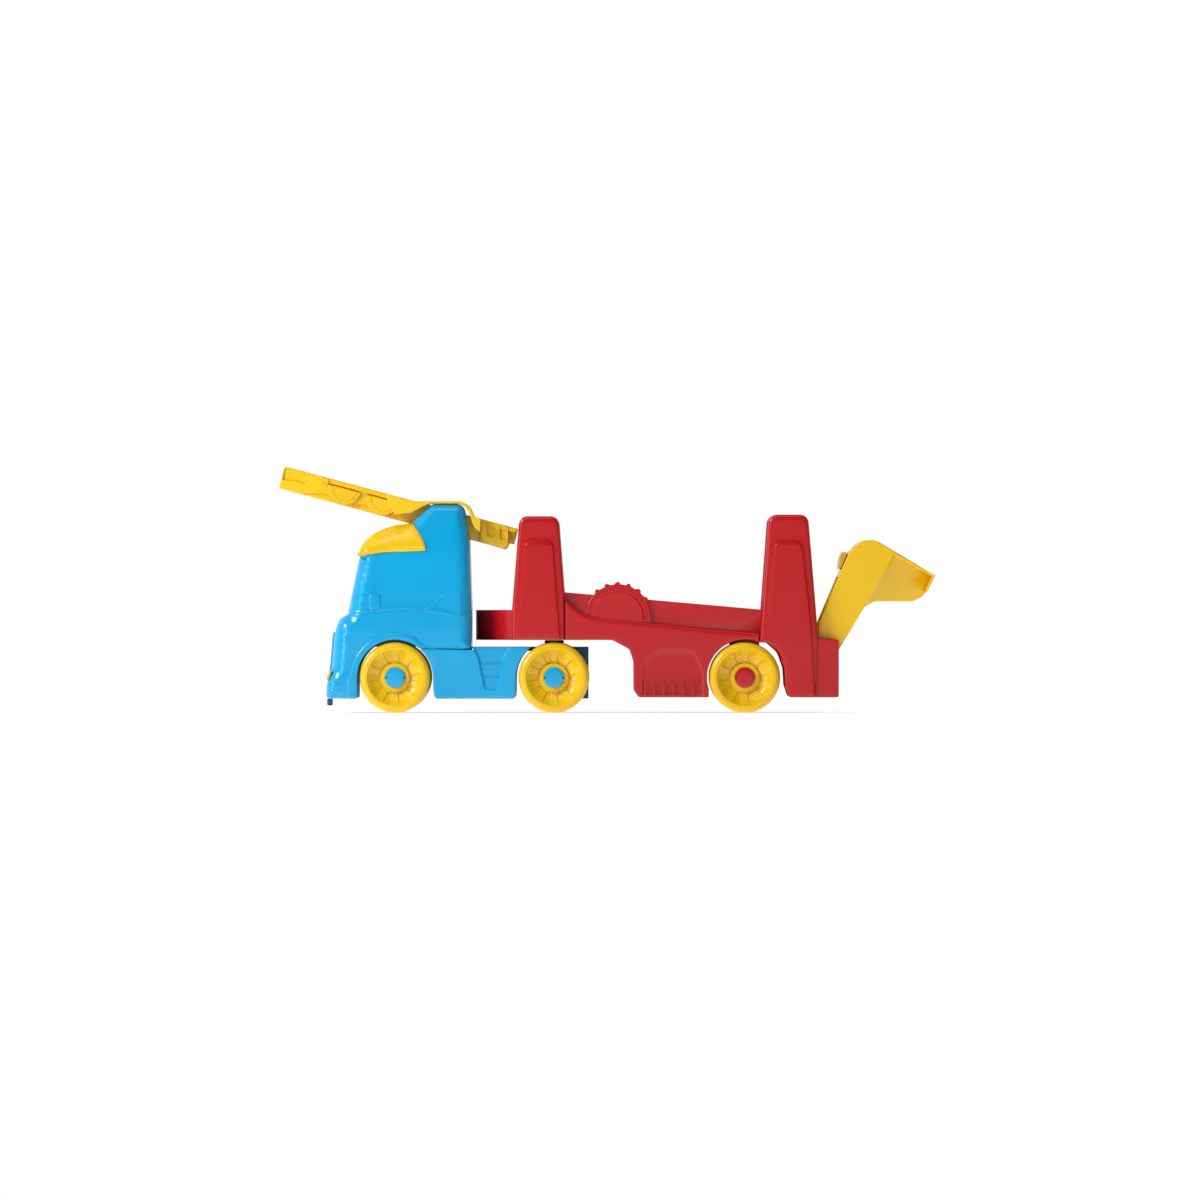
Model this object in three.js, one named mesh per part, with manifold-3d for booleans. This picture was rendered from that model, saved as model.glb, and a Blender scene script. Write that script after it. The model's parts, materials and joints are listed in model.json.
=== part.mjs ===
// Toy cement mixer lorry: a cab tractor with a loading chute on its roof, and a semi-trailer
// with two towers that cradle a mixing drum and a swinging discharge chute at its tail.
// Millimetres, +Z up. The lorry faces -X and is the same on both sides of the plane Y = 0.
// The origin is on the floor, below the middle of the whole toy.
import * as THREE from 'three';
import Module from 'manifold-3d';
import { mergeVertices } from 'three/addons/utils/BufferGeometryUtils.js';

const wasm = await Module();
wasm.setup();

// ---------------------------------------------------------------- driving dimensions
const seat = 0.3; // gap between pieces that touch
const beyond = 200; // cutters reach out past the whole toy
const wall = 2.5; // thickness of the moulded shells
const plateThick = 3; // thickness of the chassis spine and of the deck floor
const underside = 10.6; // height of the lowest moulded edges above the floor
const tongueZ = 5.2; // height of the push tongue's foot

const overallHalf = 60.5; // half the width of the toy, over wheels and towers
const bodyHalf = overallHalf - 2; // cab's lower body and fairings
const cabHalf = bodyHalf - 4.5; // cab above the shoulder line
const columnHalf = cabHalf - 8; // column that carries the loading chute
const deckHalf = overallHalf - 3; // trailer deck, ledges and skirts
const bedWallHalf = deckHalf - 5.5; // outer face of the set-back bed walls
const noseRadius = deckHalf + 1.5; // round nose of the deck, centred on the kingpin
const spoutHalf = deckHalf - 7.5; // discharge chute

const wheelRadius = 26.5;
const wheelWidth = 20;
const boreRadius = 7.2; // hole in the hub
const runningGap = 0.3; // between a hub or hinge and what it turns on
const lipRadius = boreRadius + 0.45; // snap head of a stub
const archGap = 1.9; // between a tyre and its wheel arch

const noseGap = 2.85; // between the cab's back and the trailer's nose
const frontOverhang = 52.1; // from the bumper to the front axle
const cabFrontX = -211;
const cabBackX = -101.6;
const cabTopZ = 156.8;
const shoulderZ = 76;
const sillZ = 48.2; // lower edge of the door
const chassisTopZ = 49.4;
const chassisTail = 25.85; // how far the chassis reaches behind the kingpin
const chassisHalf = 37;

const chuteTilt = THREE.MathUtils.degToRad(15);
const chuteLength = 181.6;
const chuteDepth = 17.2;
const chuteHalf = 30; // outer half width of the channel
const chuteDrop = 9.23; // the chute's upper edge lies this far below the cab's top at its back
const chuteTailIn = 4.25; // how far the chute's tail reaches into the front tower
const chuteWall = 2.2;
const railHeight = 3.75;
const railProud = 4;

const deckLift = 5.3; // air between the chassis and the trailer's deck
const deckTopZ = 77.2;
const bedWallFrontZ = 90.7;
const bedWallRearZ = 77.6;
const bedLength = 146.4; // between the two towers
const swingGap = 0.85; // from the nose's circle to the skirts
const padRise = 0.6; // flat pad on the drum bay's floor
const padInset = 10; // from the bay's walls and towers to the pad
const towerLegDepth = 9; // how far a tower leg reaches inwards
const towerBeforePin = 31.5; // from the front tower's face to the kingpin
const frontTowerLength = 39.35;
const frontTowerTopZ = 147.6;
const rearTowerLength = 43.7;
const rearTowerTopZ = 148.8;
const bridgeThick = 4;
const neckRadius = 30; // opening for the drum's neck
const neckZ = 106;

const pivotZ = 43.4; // hinge of the discharge chute
const pivotRadius = 3;
const spoutWall = 2.4;

const frontAxleX = cabFrontX + frontOverhang;
const kingpinX = cabBackX + noseGap + noseRadius; // the tractor's rear axle lies below the kingpin
const chassisEndX = kingpinX + chassisTail;
const skirtFrontX = kingpinX + noseRadius + swingGap;
const frontTowerX = kingpinX - towerBeforePin;
const chuteTailX = frontTowerX + chuteTailIn;
const chuteTailZ = cabTopZ - chuteDrop - (chuteTailX - cabBackX) * Math.tan(chuteTilt);
const frontEndX = frontTowerX + frontTowerLength;
const rearTowerX = frontEndX + bedLength;
const rearEndX = rearTowerX + rearTowerLength;
const trailerAxleX = rearTowerX - 11.1;
const pivotX = rearEndX + 6.1;
const trailerRearX = rearEndX + 15.7;
const deckZ = chassisTopZ + deckLift;
const floorZ = deckZ + plateThick;
const archRadius = wheelRadius + archGap;
const wheelInnerY = overallHalf - wheelWidth;
const railHalf = chuteHalf + railProud;

// ---------------------------------------------------------------- geometry helpers
const group = new THREE.Group();

function colour(hex, roughness) {
  return new THREE.MeshStandardMaterial({ color: hex, roughness, metalness: 0 });
}

const cyan = colour(0x07a1d3, 0.3);
const petrol = colour(0x14506e, 0.45);
const yellow = colour(0xe2b80c, 0.32);
const red = colour(0xbc1725, 0.35);
const steel = colour(0xb9bcc0, 0.35);

// A closed three.js geometry as a manifold solid.
function solid(geometry) {
  const bare = geometry.index ? geometry.toNonIndexed() : geometry;
  bare.deleteAttribute('normal');
  bare.deleteAttribute('uv');
  const merged = mergeVertices(bare, 1e-4);
  return new wasm.Manifold(new wasm.Mesh({
    numProp: 3,
    vertProperties: new Float32Array(merged.attributes.position.array),
    triVerts: new Uint32Array(merged.index.array),
  }));
}

function union(...solids) {
  return solids.reduce((total, next) => total.add(next));
}

// A named piece of the toy from a finished solid.
function piece(name, body, material) {
  const mesh = body.getMesh();
  const geometry = new THREE.BufferGeometry();
  geometry.setAttribute('position', new THREE.BufferAttribute(mesh.vertProperties, 3));
  geometry.setIndex(new THREE.BufferAttribute(mesh.triVerts, 1));
  geometry.computeVertexNormals();
  const node = new THREE.Mesh(geometry, material.clone());
  node.name = name;
  group.add(node);
  return node;
}

// Corners [x, z, fillet radius] as a shape whose corners are rounded by arcs.
function outline(corners, step = Math.PI / 7) {
  const points = [];
  corners.forEach(([x, z, radius = 0], i) => {
    const here = new THREE.Vector2(x, z);
    const before = corners[(i + corners.length - 1) % corners.length];
    const after = corners[(i + 1) % corners.length];
    const back = new THREE.Vector2(before[0], before[1]).sub(here);
    const ahead = new THREE.Vector2(after[0], after[1]).sub(here);
    const room = 0.48 * Math.min(back.length(), ahead.length());
    back.normalize();
    ahead.normalize();
    const half = Math.acos(THREE.MathUtils.clamp(back.dot(ahead), -1, 1)) / 2;
    const fillet = Math.min(radius, room * Math.tan(half));
    if (fillet < 0.05 || half > Math.PI / 2 - 0.01) {
      points.push(here);
      return;
    }
    const centre = back.clone().add(ahead).normalize().multiplyScalar(fillet / Math.sin(half)).add(here);
    const start = back.clone().multiplyScalar(fillet / Math.tan(half)).add(here).sub(centre);
    const end = ahead.clone().multiplyScalar(fillet / Math.tan(half)).add(here).sub(centre);
    const turn = Math.atan2(start.cross(end), start.dot(end));
    const steps = Math.max(1, Math.ceil(Math.abs(turn) / step));
    for (let k = 0; k <= steps; k += 1) {
      const arm = start.clone().rotateAround(new THREE.Vector2(), turn * k / steps);
      points.push(centre.clone().add(arm));
    }
  });
  return new THREE.Shape(points);
}

// The same corners moved inwards by a distance; corners run anticlockwise.
function inset(corners, distance) {
  return corners.map(([x, z, radius = 0], i) => {
    const before = corners[(i + corners.length - 1) % corners.length];
    const after = corners[(i + 1) % corners.length];
    const into = new THREE.Vector2(x - before[0], z - before[1]).normalize();
    const out = new THREE.Vector2(after[0] - x, after[1] - z).normalize();
    const normalIn = new THREE.Vector2(-into.y, into.x);
    const normalOut = new THREE.Vector2(-out.y, out.x);
    const middle = normalIn.add(normalOut);
    const shift = middle.multiplyScalar(2 * distance / middle.lengthSq());
    const convex = into.cross(out) > 0;
    return [x + shift.x, z + shift.y, radius ? Math.max(0.4, radius + (convex ? -distance : distance)) : 0];
  });
}

// A side outline given its thickness across the toy, from y0 to y1.
function slab(shape, y0, y1) {
  const geometry = new THREE.ExtrudeGeometry(shape, { depth: y1 - y0, bevelEnabled: false, curveSegments: 10 });
  geometry.rotateX(Math.PI / 2);
  geometry.translate(0, y1, 0);
  return solid(geometry);
}

// A plan outline given its height from z0 to z1.
function plate(shape, z0, z1) {
  const geometry = new THREE.ExtrudeGeometry(shape, { depth: z1 - z0, bevelEnabled: false, curveSegments: 10 });
  geometry.translate(0, 0, z0);
  return solid(geometry);
}

// A front outline of [y, z] given its length from x0 to x1.
function frame(shape, x0, x1) {
  const geometry = new THREE.ExtrudeGeometry(shape, { depth: x1 - x0, bevelEnabled: false, curveSegments: 10 });
  geometry.rotateX(Math.PI / 2);
  geometry.rotateZ(Math.PI / 2);
  geometry.translate(x0, 0, 0);
  return solid(geometry);
}

function box(x0, x1, y0, y1, z0, z1) {
  const geometry = new THREE.BoxGeometry(x1 - x0, y1 - y0, z1 - z0);
  geometry.translate((x0 + x1) / 2, (y0 + y1) / 2, (z0 + z1) / 2);
  return solid(geometry);
}

// A round bar across the toy.
function rod(radius, x, z, y0, y1, sides = 24) {
  const geometry = new THREE.CylinderGeometry(radius, radius, y1 - y0, sides);
  geometry.translate(x, (y0 + y1) / 2, z);
  return solid(geometry);
}

// A round bar standing upright.
function post(radius, x, y, z0, z1, sides = 24) {
  const geometry = new THREE.CylinderGeometry(radius, radius, z1 - z0, sides);
  geometry.rotateX(Math.PI / 2);
  geometry.translate(x, y, (z0 + z1) / 2);
  return solid(geometry);
}

function mirrored(body) {
  return body.mirror([0, 1, 0]);
}

function bothSides(body) {
  return body.add(mirrored(body));
}

// A wheel arch: round above the axle and straight below it.
function archCut(axleX, radius) {
  const shape = outline([
    [axleX - radius, -5],
    [axleX + radius, -5],
    [axleX + radius, wheelRadius + radius, radius],
    [axleX - radius, wheelRadius + radius, radius],
  ], Math.PI / 16);
  return slab(shape, -bodyHalf - 20, bodyHalf + 20);
}

// ---------------------------------------------------------------- wheels and their stubs
// Half section of a wheel as [radius, height above its inner face].
const hubRing = 10.65;
const stepRadius = 17;
const rimRadius = 20.2;
const wheelSection = [
  [boreRadius, 2],
  [hubRing, 2],
  [hubRing, wheelWidth - 9],
  [rimRadius + 3, wheelWidth - 9],
  [rimRadius + 3, 0.8],
  [wheelRadius - 0.8, 0],
  [wheelRadius, 1.6],
  [wheelRadius, wheelWidth - 5.5],
  [wheelRadius - 1.6, wheelWidth - 1.7],
  [wheelRadius - 4.4, wheelWidth],
  [rimRadius, wheelWidth - 1.2],
  [stepRadius, wheelWidth - 5.5],
  [hubRing + 0.6, wheelWidth - 6.5],
  [hubRing, wheelWidth - 4.5],
  [boreRadius, wheelWidth - 4.5],
];

function wheelSolid() {
  const ring = [...wheelSection, wheelSection[0]].map(([r, y]) => new THREE.Vector2(r, y));
  return solid(new THREE.LatheGeometry(ring, 24));
}

const stubHeadY = wheelWidth - 4.5 + seat;
const stubShaft = boreRadius - runningGap;

// A split stub: collar against the chassis, shaft through the hub and a snap head outside it.
function stubSolid() {
  const reach = wheelInnerY - chassisHalf - seat;
  const profile = [
    [0, -reach],
    [hubRing, -reach],
    [hubRing, -0.4],
    [stubShaft, -0.4],
    [stubShaft, stubHeadY],
    [lipRadius, stubHeadY],
    [lipRadius, stubHeadY + 1.2],
    [lipRadius - 0.7, stubHeadY + 1.9],
    [0, stubHeadY + 1.9],
  ].map(([r, y]) => new THREE.Vector2(r, y));
  const body = solid(new THREE.LatheGeometry(profile, 18));
  const slit = box(-lipRadius - 1, lipRadius + 1, wheelWidth / 2 - 2, stubHeadY + 3, -0.8, 0.8);
  return body.subtract(slit);
}

const axles = [
  ['front', frontAxleX, cyan],
  ['rear', kingpinX, cyan],
  ['trailer', trailerAxleX, red],
];
const wheelBody = wheelSolid();
const stubBody = stubSolid();
axles.forEach(([station, x, material]) => {
  const wheel = wheelBody.translate([x, wheelInnerY, wheelRadius]);
  const stub = stubBody.translate([x, wheelInnerY, wheelRadius]);
  piece(`wheel_${station}_left`, mirrored(wheel), yellow);
  piece(`wheel_${station}_right`, wheel, yellow);
  piece(`hub_stub_${station}_left`, mirrored(stub), material);
  piece(`hub_stub_${station}_right`, stub, material);
});

// ---------------------------------------------------------------- tractor chassis
const bracketHalf = 11;
const rearBracketX = kingpinX - 15;
const fairingX = frontAxleX + archRadius;
const fairingEndX = kingpinX - archRadius;
const chassisFrontX = cabFrontX + 11.5;
const frontPlateZ = sillZ + 1.4;
const kingpinRadius = 5.2;
const bossRadius = 7.35;

function channel(x0, x1, z0) {
  const outer = box(x0, x1, -chassisHalf, chassisHalf, z0, chassisTopZ);
  const inner = box(
    x0 + wall,
    x1 - wall,
    -chassisHalf + wall,
    chassisHalf - wall,
    z0 - 1,
    chassisTopZ - plateThick,
  );
  return outer.subtract(inner);
}

const spine = union(
  box(fairingX + 2, chassisEndX, -chassisHalf, chassisHalf, chassisTopZ - plateThick, chassisTopZ),
  channel(fairingX + 8, fairingEndX - 8, underside + 3),
  channel(rearBracketX, chassisEndX, underside),
  box(chassisFrontX, fairingX + 6, -chassisHalf, chassisHalf, frontPlateZ, frontPlateZ + plateThick),
  box(fairingX + 2, fairingX + 6, -chassisHalf, chassisHalf, chassisTopZ - plateThick, frontPlateZ + 1),
  box(frontAxleX - bracketHalf, frontAxleX + bracketHalf, -chassisHalf, chassisHalf, underside + 3, frontPlateZ + 1),
);
const bracketHollow = box(
  frontAxleX - bracketHalf + wall,
  frontAxleX + bracketHalf - wall,
  -chassisHalf + wall,
  chassisHalf - wall,
  0,
  frontPlateZ,
);
const kingpinHole = post(kingpinRadius + runningGap, kingpinX, 0, underside, chassisTopZ + 1);
piece('chassis_frame', spine.subtract(bracketHollow).subtract(kingpinHole), petrol);

// Tongue behind the bumper, for a push hook.
const tongueHalf = 14;
const tongueThick = 2.9;
const tongueX = chassisFrontX - seat - tongueThick;
piece('front_tongue', union(
  box(tongueX, tongueX + tongueThick, -tongueHalf, tongueHalf, tongueZ, frontPlateZ + plateThick),
  box(cabFrontX + 0.2, tongueX + tongueThick, -tongueHalf, tongueHalf, tongueZ, underside - seat),
), petrol);

// ---------------------------------------------------------------- cab
const lowerCab = [
  [cabFrontX, underside, 2],
  [frontAxleX, underside],
  [frontAxleX, sillZ],
  [cabBackX, sillZ, 1],
  [cabBackX, shoulderZ],
  [cabFrontX + 46, shoulderZ + 2.4],
  [cabFrontX + 16.4, shoulderZ - 2.4, 5],
  [cabFrontX + 7.8, shoulderZ - 10, 4],
  [cabFrontX + 5.4, shoulderZ - 15],
  [cabFrontX + 3.2, underside + 22.4],
  [cabFrontX + 1.2, underside + 12.9],
];
const roofZ = cabTopZ - 17.2;
const upperCab = [
  [cabFrontX + 16.2, shoulderZ - 8],
  [cabBackX, shoulderZ - 8],
  [cabBackX, shoulderZ],
  [cabBackX - 1.5, cabTopZ - 27.1],
  [cabBackX - 3.6, cabTopZ - 14.8],
  [cabBackX - 46.4, roofZ, 4],
  [cabFrontX + 39, roofZ - 7.2, 10],
  [cabFrontX + 26.8, roofZ - 18.6, 4],
  [cabFrontX + 16.2, shoulderZ - 2.6],
];
const column = [
  [cabBackX - 48.4, cabTopZ - 38.8],
  [cabBackX - 1.4, cabTopZ - 38.8],
  [cabBackX - 1.5, cabTopZ - 27.1],
  [cabBackX - 4.8, cabTopZ, 7],
  [cabBackX - 30, cabTopZ, 5],
  [cabBackX - 44.8, cabTopZ - 13.8],
];
const lowerHollow = union(
  slab(outline(inset(lowerCab, wall)), -bodyHalf + wall, bodyHalf - wall),
  box(cabFrontX + 6, frontAxleX, -bodyHalf + wall, bodyHalf - wall, 0, sillZ),
  box(frontAxleX - 6, cabBackX - wall, -bodyHalf + wall, bodyHalf - wall, sillZ - 5, sillZ + 6),
);
const upperHollow = slab(outline(inset(upperCab, wall)), -cabHalf + wall, cabHalf - wall);
const hatch = box(cabFrontX + 23, cabBackX - wall - 1, -cabHalf + wall, cabHalf - wall, shoulderZ - 14, shoulderZ + 6);

// Point on the chute: distance forward of the tail and height above the chute's top edge.
function onChute(forward, height) {
  const cos = Math.cos(chuteTilt);
  const sin = Math.sin(chuteTilt);
  return [chuteTailX - forward * cos + height * sin, chuteTailZ + forward * sin + height * cos];
}

function chuteStrip(from, to, low, high) {
  return outline([onChute(from, low), onChute(from, high), onChute(to, high), onChute(to, low)]);
}

const slot = slab(
  chuteStrip(-30, chuteLength, -chuteDepth - seat, 60),
  -chuteHalf - seat,
  chuteHalf + seat,
);
const chassisNotch = box(
  frontAxleX,
  cabBackX + 1,
  -chassisHalf - seat,
  chassisHalf + seat,
  sillZ - 1,
  chassisTopZ + seat,
);
const cabShell = union(
  slab(outline(lowerCab), -bodyHalf, bodyHalf),
  slab(outline(upperCab), -cabHalf, cabHalf),
  slab(outline(column), -columnHalf, columnHalf),
)
  .subtract(lowerHollow)
  .subtract(upperHollow)
  .subtract(hatch)
  .subtract(slot)
  .subtract(archCut(frontAxleX, archRadius))
  .subtract(chassisNotch);
piece('cab_shell', cabShell, cyan);

// Sun visor: a hood over the windscreen's top and the roof's front.
const visorOutline = [
  [cabFrontX + 23, roofZ - 22.7, 1],
  [cabFrontX + 42, roofZ - 19.2, 8],
  [cabBackX - 34.2, roofZ - 18, 1],
  [cabBackX - 34.6, roofZ - 13.6],
  [cabBackX - 42.6, roofZ + 1.6, 1.5],
  [cabBackX - 45.9, roofZ + 2.8, 3],
  [cabFrontX + 51, roofZ + 1, 20],
  [cabFrontX + 37, roofZ - 4.4, 14],
  [cabFrontX + 26.6, roofZ - 13.6, 10],
];
const visorHalf = cabHalf + wall;
const roofClear = union(
  slab(outline([
    [cabFrontX + 16.2 - seat, shoulderZ],
    [cabBackX - 28.4, shoulderZ],
    [cabBackX - 28.4, roofZ + 5.4],
    [cabBackX - 46.4, roofZ + seat, 4],
    [cabFrontX + 39, roofZ - 7.2 + seat, 10],
    [cabFrontX + 26.8 - seat, roofZ - 18.6 + seat, 4],
  ]), -cabHalf - seat, cabHalf + seat),
  slab(outline(inset(column, -seat)), -columnHalf - seat, columnHalf + seat),
);
const visor = slab(outline(visorOutline), -visorHalf, visorHalf)
  .subtract(roofClear)
  .subtract(slot);
piece('sun_visor', visor, yellow);

// Grille panel, bumper bar and headlamps on the flat front.
const lampHalf = 9;
const lampY = bodyHalf - 13.5;
const grilleHalf = lampY - 11;
const lampLowZ = underside + 13.9;
const lampHighZ = lampLowZ + 7;
const grilleLowZ = underside + 15.4;
const grilleHighZ = shoulderZ - 18;
const facade = slab(outline(lowerCab), -bodyHalf - 1, bodyHalf + 1);

function onFront(z0, z1, y0, y1, proud) {
  const skin = box(cabFrontX - 6, cabFrontX + 12, y0, y1, z0, z1);
  const near = facade.translate([-seat, 0, 0]);
  const far = facade.translate([-seat - proud, 0, 0]);
  return skin.intersect(far).subtract(near);
}

piece('grille_panel', onFront(grilleLowZ, grilleHighZ, -grilleHalf, grilleHalf, 1.6), cyan);
piece('headlamp_right', onFront(lampLowZ, lampHighZ, lampY - lampHalf, lampY + lampHalf, 1.2), yellow);
piece('headlamp_left', onFront(lampLowZ, lampHighZ, -lampY - lampHalf, -lampY + lampHalf, 1.2), yellow);

// ---------------------------------------------------------------- tank fairings
const fairing = slab(outline([
  [fairingX + 1.6, underside, 2.5],
  [fairingEndX - 0.6, underside, 2.5],
  [fairingEndX - 0.6, wheelRadius],
  [fairingEndX + 12, sillZ + 1.2],
  [cabBackX + 2, sillZ + 1.2],
  [cabBackX, sillZ - seat],
  [fairingX - 14, sillZ - seat],
]), wheelInnerY, bodyHalf)
  .subtract(box(fairingX + 4, fairingEndX - 4, 0, bodyHalf - wall, underside + wall, sillZ - 4))
  .subtract(archCut(frontAxleX, archRadius))
  .subtract(archCut(kingpinX, archRadius));
const stepX = cabBackX + 8.6;
const stepWidth = 16;
const stepRecess = box(stepX, stepX + stepWidth, bodyHalf - 1.2, bodyHalf + 1, underside + 12, sillZ + 5);
const stepTreads = union(...[25.4, 15.4].map((height) => box(
  stepX - 1,
  stepX + stepWidth + 1,
  bodyHalf - 1.6,
  bodyHalf - 0.4,
  underside + height,
  underside + height + 1.2,
)));
const fairingSolid = fairing.subtract(stepRecess).add(stepTreads);
piece('side_fairing_right', fairingSolid, cyan);
piece('side_fairing_left', mirrored(fairingSolid), cyan);

// Screws that hold the chassis under the cab and the fairings, and the axle box in the bed.
const screwRadius = 2.6;

function screws(name, places, z) {
  places.forEach(([x, y], k) => {
    piece(`${name}_screw_${k + 1}`, post(screwRadius, x, y, z - seat - 1.5, z - seat, 10), steel);
  });
}

const screwX = (fairingX + fairingEndX) / 2;
screws('chassis', [
  [chassisFrontX + 8, 20],
  [chassisFrontX + 8, -20],
], frontPlateZ);
screws('fairing', [
  [screwX, 20],
  [screwX, -20],
], chassisTopZ - plateThick);

// ---------------------------------------------------------------- top chute
const saddleThick = 2;
const chuteChannel = slab(chuteStrip(0, chuteLength, -chuteDepth, 0), -chuteHalf, chuteHalf)
  .subtract(slab(
    chuteStrip(-10, chuteLength + 20, -chuteDepth + chuteWall, 20),
    -chuteHalf + chuteWall,
    chuteHalf - chuteWall,
  ));
const rails = bothSides(slab(
  chuteStrip(8.8, chuteLength - 28, -railHeight, 0),
  chuteHalf - chuteWall,
  railHalf,
));
const frontBlocks = bothSides(slab(outline([
  onChute(chuteLength, 0),
  onChute(chuteLength, -12.5),
  onChute(chuteLength - 16, -8),
  onChute(chuteLength - 26, -9, 3),
  onChute(chuteLength - 30, -3.75),
  onChute(chuteLength - 30, 0),
]), chuteHalf - chuteWall, railHalf));
const rearBlockFrom = 8.8;
const rearBlockTo = 30;
const uSlots = union(
  slab(chuteStrip(rearBlockFrom + 1, rearBlockFrom + 5.2, -10, -3), chuteHalf + 1.2, railHalf + 1),
  slab(chuteStrip(rearBlockFrom + 12, rearBlockFrom + 16.2, -10, -3), chuteHalf + 1.2, railHalf + 1),
);
const rearBlocks = bothSides(slab(
  chuteStrip(rearBlockFrom, rearBlockTo, -chuteDepth + 0.4, 0),
  chuteHalf - chuteWall,
  railHalf,
).subtract(uSlots));
const saddleOuter = slab(outline(inset(column, -seat - saddleThick)), chuteHalf - chuteWall, columnHalf);
const saddleInner = slab(outline(inset(column, -seat)), chuteHalf - 10, columnHalf + 5);
const saddleFrom = chuteTailX - cabBackX - 12.6;
const saddleReach = slab(chuteStrip(saddleFrom, saddleFrom + 70, -9, 30), chuteHalf - 10, columnHalf + 5);
const saddle = bothSides(saddleOuter.subtract(saddleInner).intersect(saddleReach));
const cabClear = slab(outline(inset(column, -seat)), chuteHalf + seat, columnHalf + 20);
const tailDepth = 12.5;
const tailCut = slab(chuteStrip(-5, rearBlockFrom, -40, -tailDepth), -chuteHalf - 1, chuteHalf + 1);
const topChute = union(chuteChannel, rails, frontBlocks, rearBlocks)
  .subtract(bothSides(cabClear))
  .subtract(tailCut)
  .add(saddle);
piece('top_chute', topChute, yellow);

// Half gears that hang below the chute's rails.
const hangGearRadius = 13.1;
const hangGearThick = 2.6;
const hangGearTeeth = 9;

function halfGear(radius, root, teeth, from, to) {
  const points = [];
  for (let k = 0; k <= teeth; k += 1) {
    const angle = from + (to - from) * k / teeth;
    points.push(new THREE.Vector2(root * Math.cos(angle), root * Math.sin(angle)));
    if (k < teeth) {
      const tip = from + (to - from) * (k + 0.5) / teeth;
      points.push(new THREE.Vector2(radius * Math.cos(tip), radius * Math.sin(tip)));
    }
  }
  return new THREE.Shape(points);
}

function hangingGear(forward) {
  const [x, z] = onChute(forward, -railHeight - seat);
  const shape = halfGear(hangGearRadius, hangGearRadius - 1.6, hangGearTeeth, Math.PI, 2 * Math.PI);
  const geometry = new THREE.ExtrudeGeometry(shape, { depth: hangGearThick, bevelEnabled: false });
  geometry.rotateX(Math.PI / 2);
  geometry.rotateY(chuteTilt);
  geometry.translate(x, chuteHalf + seat + hangGearThick, z);
  return solid(geometry);
}

[['front', 135], ['rear', 104.5]].forEach(([name, forward]) => {
  const gear = hangingGear(forward);
  piece(`chute_gear_${name}_right`, gear, yellow);
  piece(`chute_gear_${name}_left`, mirrored(gear), yellow);
});

// ---------------------------------------------------------------- trailer bed
const nosePlan = new THREE.Shape();
nosePlan.absarc(kingpinX, 0, noseRadius, Math.PI * 0.57, Math.PI * 1.43, false);
nosePlan.lineTo(frontEndX, -deckHalf);
nosePlan.lineTo(frontEndX, deckHalf);
const deckPlan = new THREE.Shape();
deckPlan.absarc(kingpinX, 0, noseRadius - wall, Math.PI * 0.57, Math.PI * 1.43, false);
deckPlan.lineTo(frontEndX + 5, -deckHalf + wall);
deckPlan.lineTo(frontEndX + 5, deckHalf - wall);
const bedRearX = pivotX - 14;
const ledgeZ = deckZ + 16;
const skirtRearX = trailerAxleX - 27;
const axleBoxZ = 13.5;

const bedFloor = box(kingpinX, bedRearX, -deckHalf, deckHalf, deckZ, floorZ);
const bayPad = box(
  frontEndX + padInset,
  rearTowerX - padInset,
  -bedWallHalf + padInset,
  bedWallHalf - padInset,
  floorZ - 1,
  floorZ + padRise,
);
const noseDeck = plate(nosePlan, deckZ, deckTopZ).subtract(plate(deckPlan, floorZ, deckTopZ - wall));
const noseOpening = box(kingpinX - 10, frontEndX + 8, -40, 40, floorZ, deckTopZ - wall);
const ledge = bothSides(slab(outline([
  [frontEndX - 2, deckZ],
  [trailerAxleX - 12, deckZ],
  [trailerAxleX - 12, deckZ + 6],
  [skirtFrontX + 10, ledgeZ - 3],
  [frontEndX + 25.9, ledgeZ, 8],
  [frontEndX + 13.9, ledgeZ + 3, 8],
  [frontEndX + 3.9, ledgeZ + 12, 8],
  [frontEndX - 2, ledgeZ + 20],
]), deckHalf - wall, deckHalf));
const bedWalls = bothSides(slab(outline([
  [frontEndX - 2, deckZ],
  [rearTowerX + 6, deckZ],
  [rearTowerX + 6, bedWallRearZ - 0.5],
  [frontEndX - 2, bedWallFrontZ],
]), bedWallHalf - wall, bedWallHalf));
const ledgeTop = bothSides(slab(outline([
  [frontEndX, ledgeZ - 2.2],
  [frontEndX + 25.9, ledgeZ - 2.2],
  [skirtFrontX + 10, ledgeZ - 5.2],
  [trailerAxleX - 12, deckZ + 3.8],
  [trailerAxleX - 12, deckZ + 6],
  [skirtFrontX + 10, ledgeZ - 3],
  [frontEndX + 25.9, ledgeZ],
  [frontEndX, ledgeZ],
]), bedWallHalf - 1, deckHalf));
const skirt = bothSides(slab(outline([
  [skirtFrontX, underside + 1, 3],
  [skirtRearX, underside + 1],
  [skirtRearX, deckZ + 2],
  [skirtFrontX - 17.1, deckZ + 2],
  [skirtFrontX - 17.1, deckZ],
  [skirtFrontX - 6, deckZ - 6, 6],
  [skirtFrontX, deckZ - 18, 6],
]), deckHalf - wall, deckHalf));
const skirtCross = box(skirtFrontX + 4, skirtFrontX + 4 + wall, -deckHalf, deckHalf, underside + 8, deckZ + 1);
const axleBox = box(
  trailerAxleX - bracketHalf,
  trailerAxleX + bracketHalf,
  -chassisHalf,
  chassisHalf,
  axleBoxZ,
  deckZ + 1,
).subtract(box(
  trailerAxleX - bracketHalf + wall,
  trailerAxleX + bracketHalf - wall,
  -chassisHalf + wall,
  chassisHalf - wall,
  axleBoxZ - 1,
  deckZ,
));
const bed = union(noseDeck, bedFloor, bayPad, ledge, bedWalls, ledgeTop, skirt, skirtCross)
  .subtract(noseOpening)
  .subtract(archCut(trailerAxleX, archRadius))
  .add(axleBox);
piece('trailer_bed', bed, red);

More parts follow.
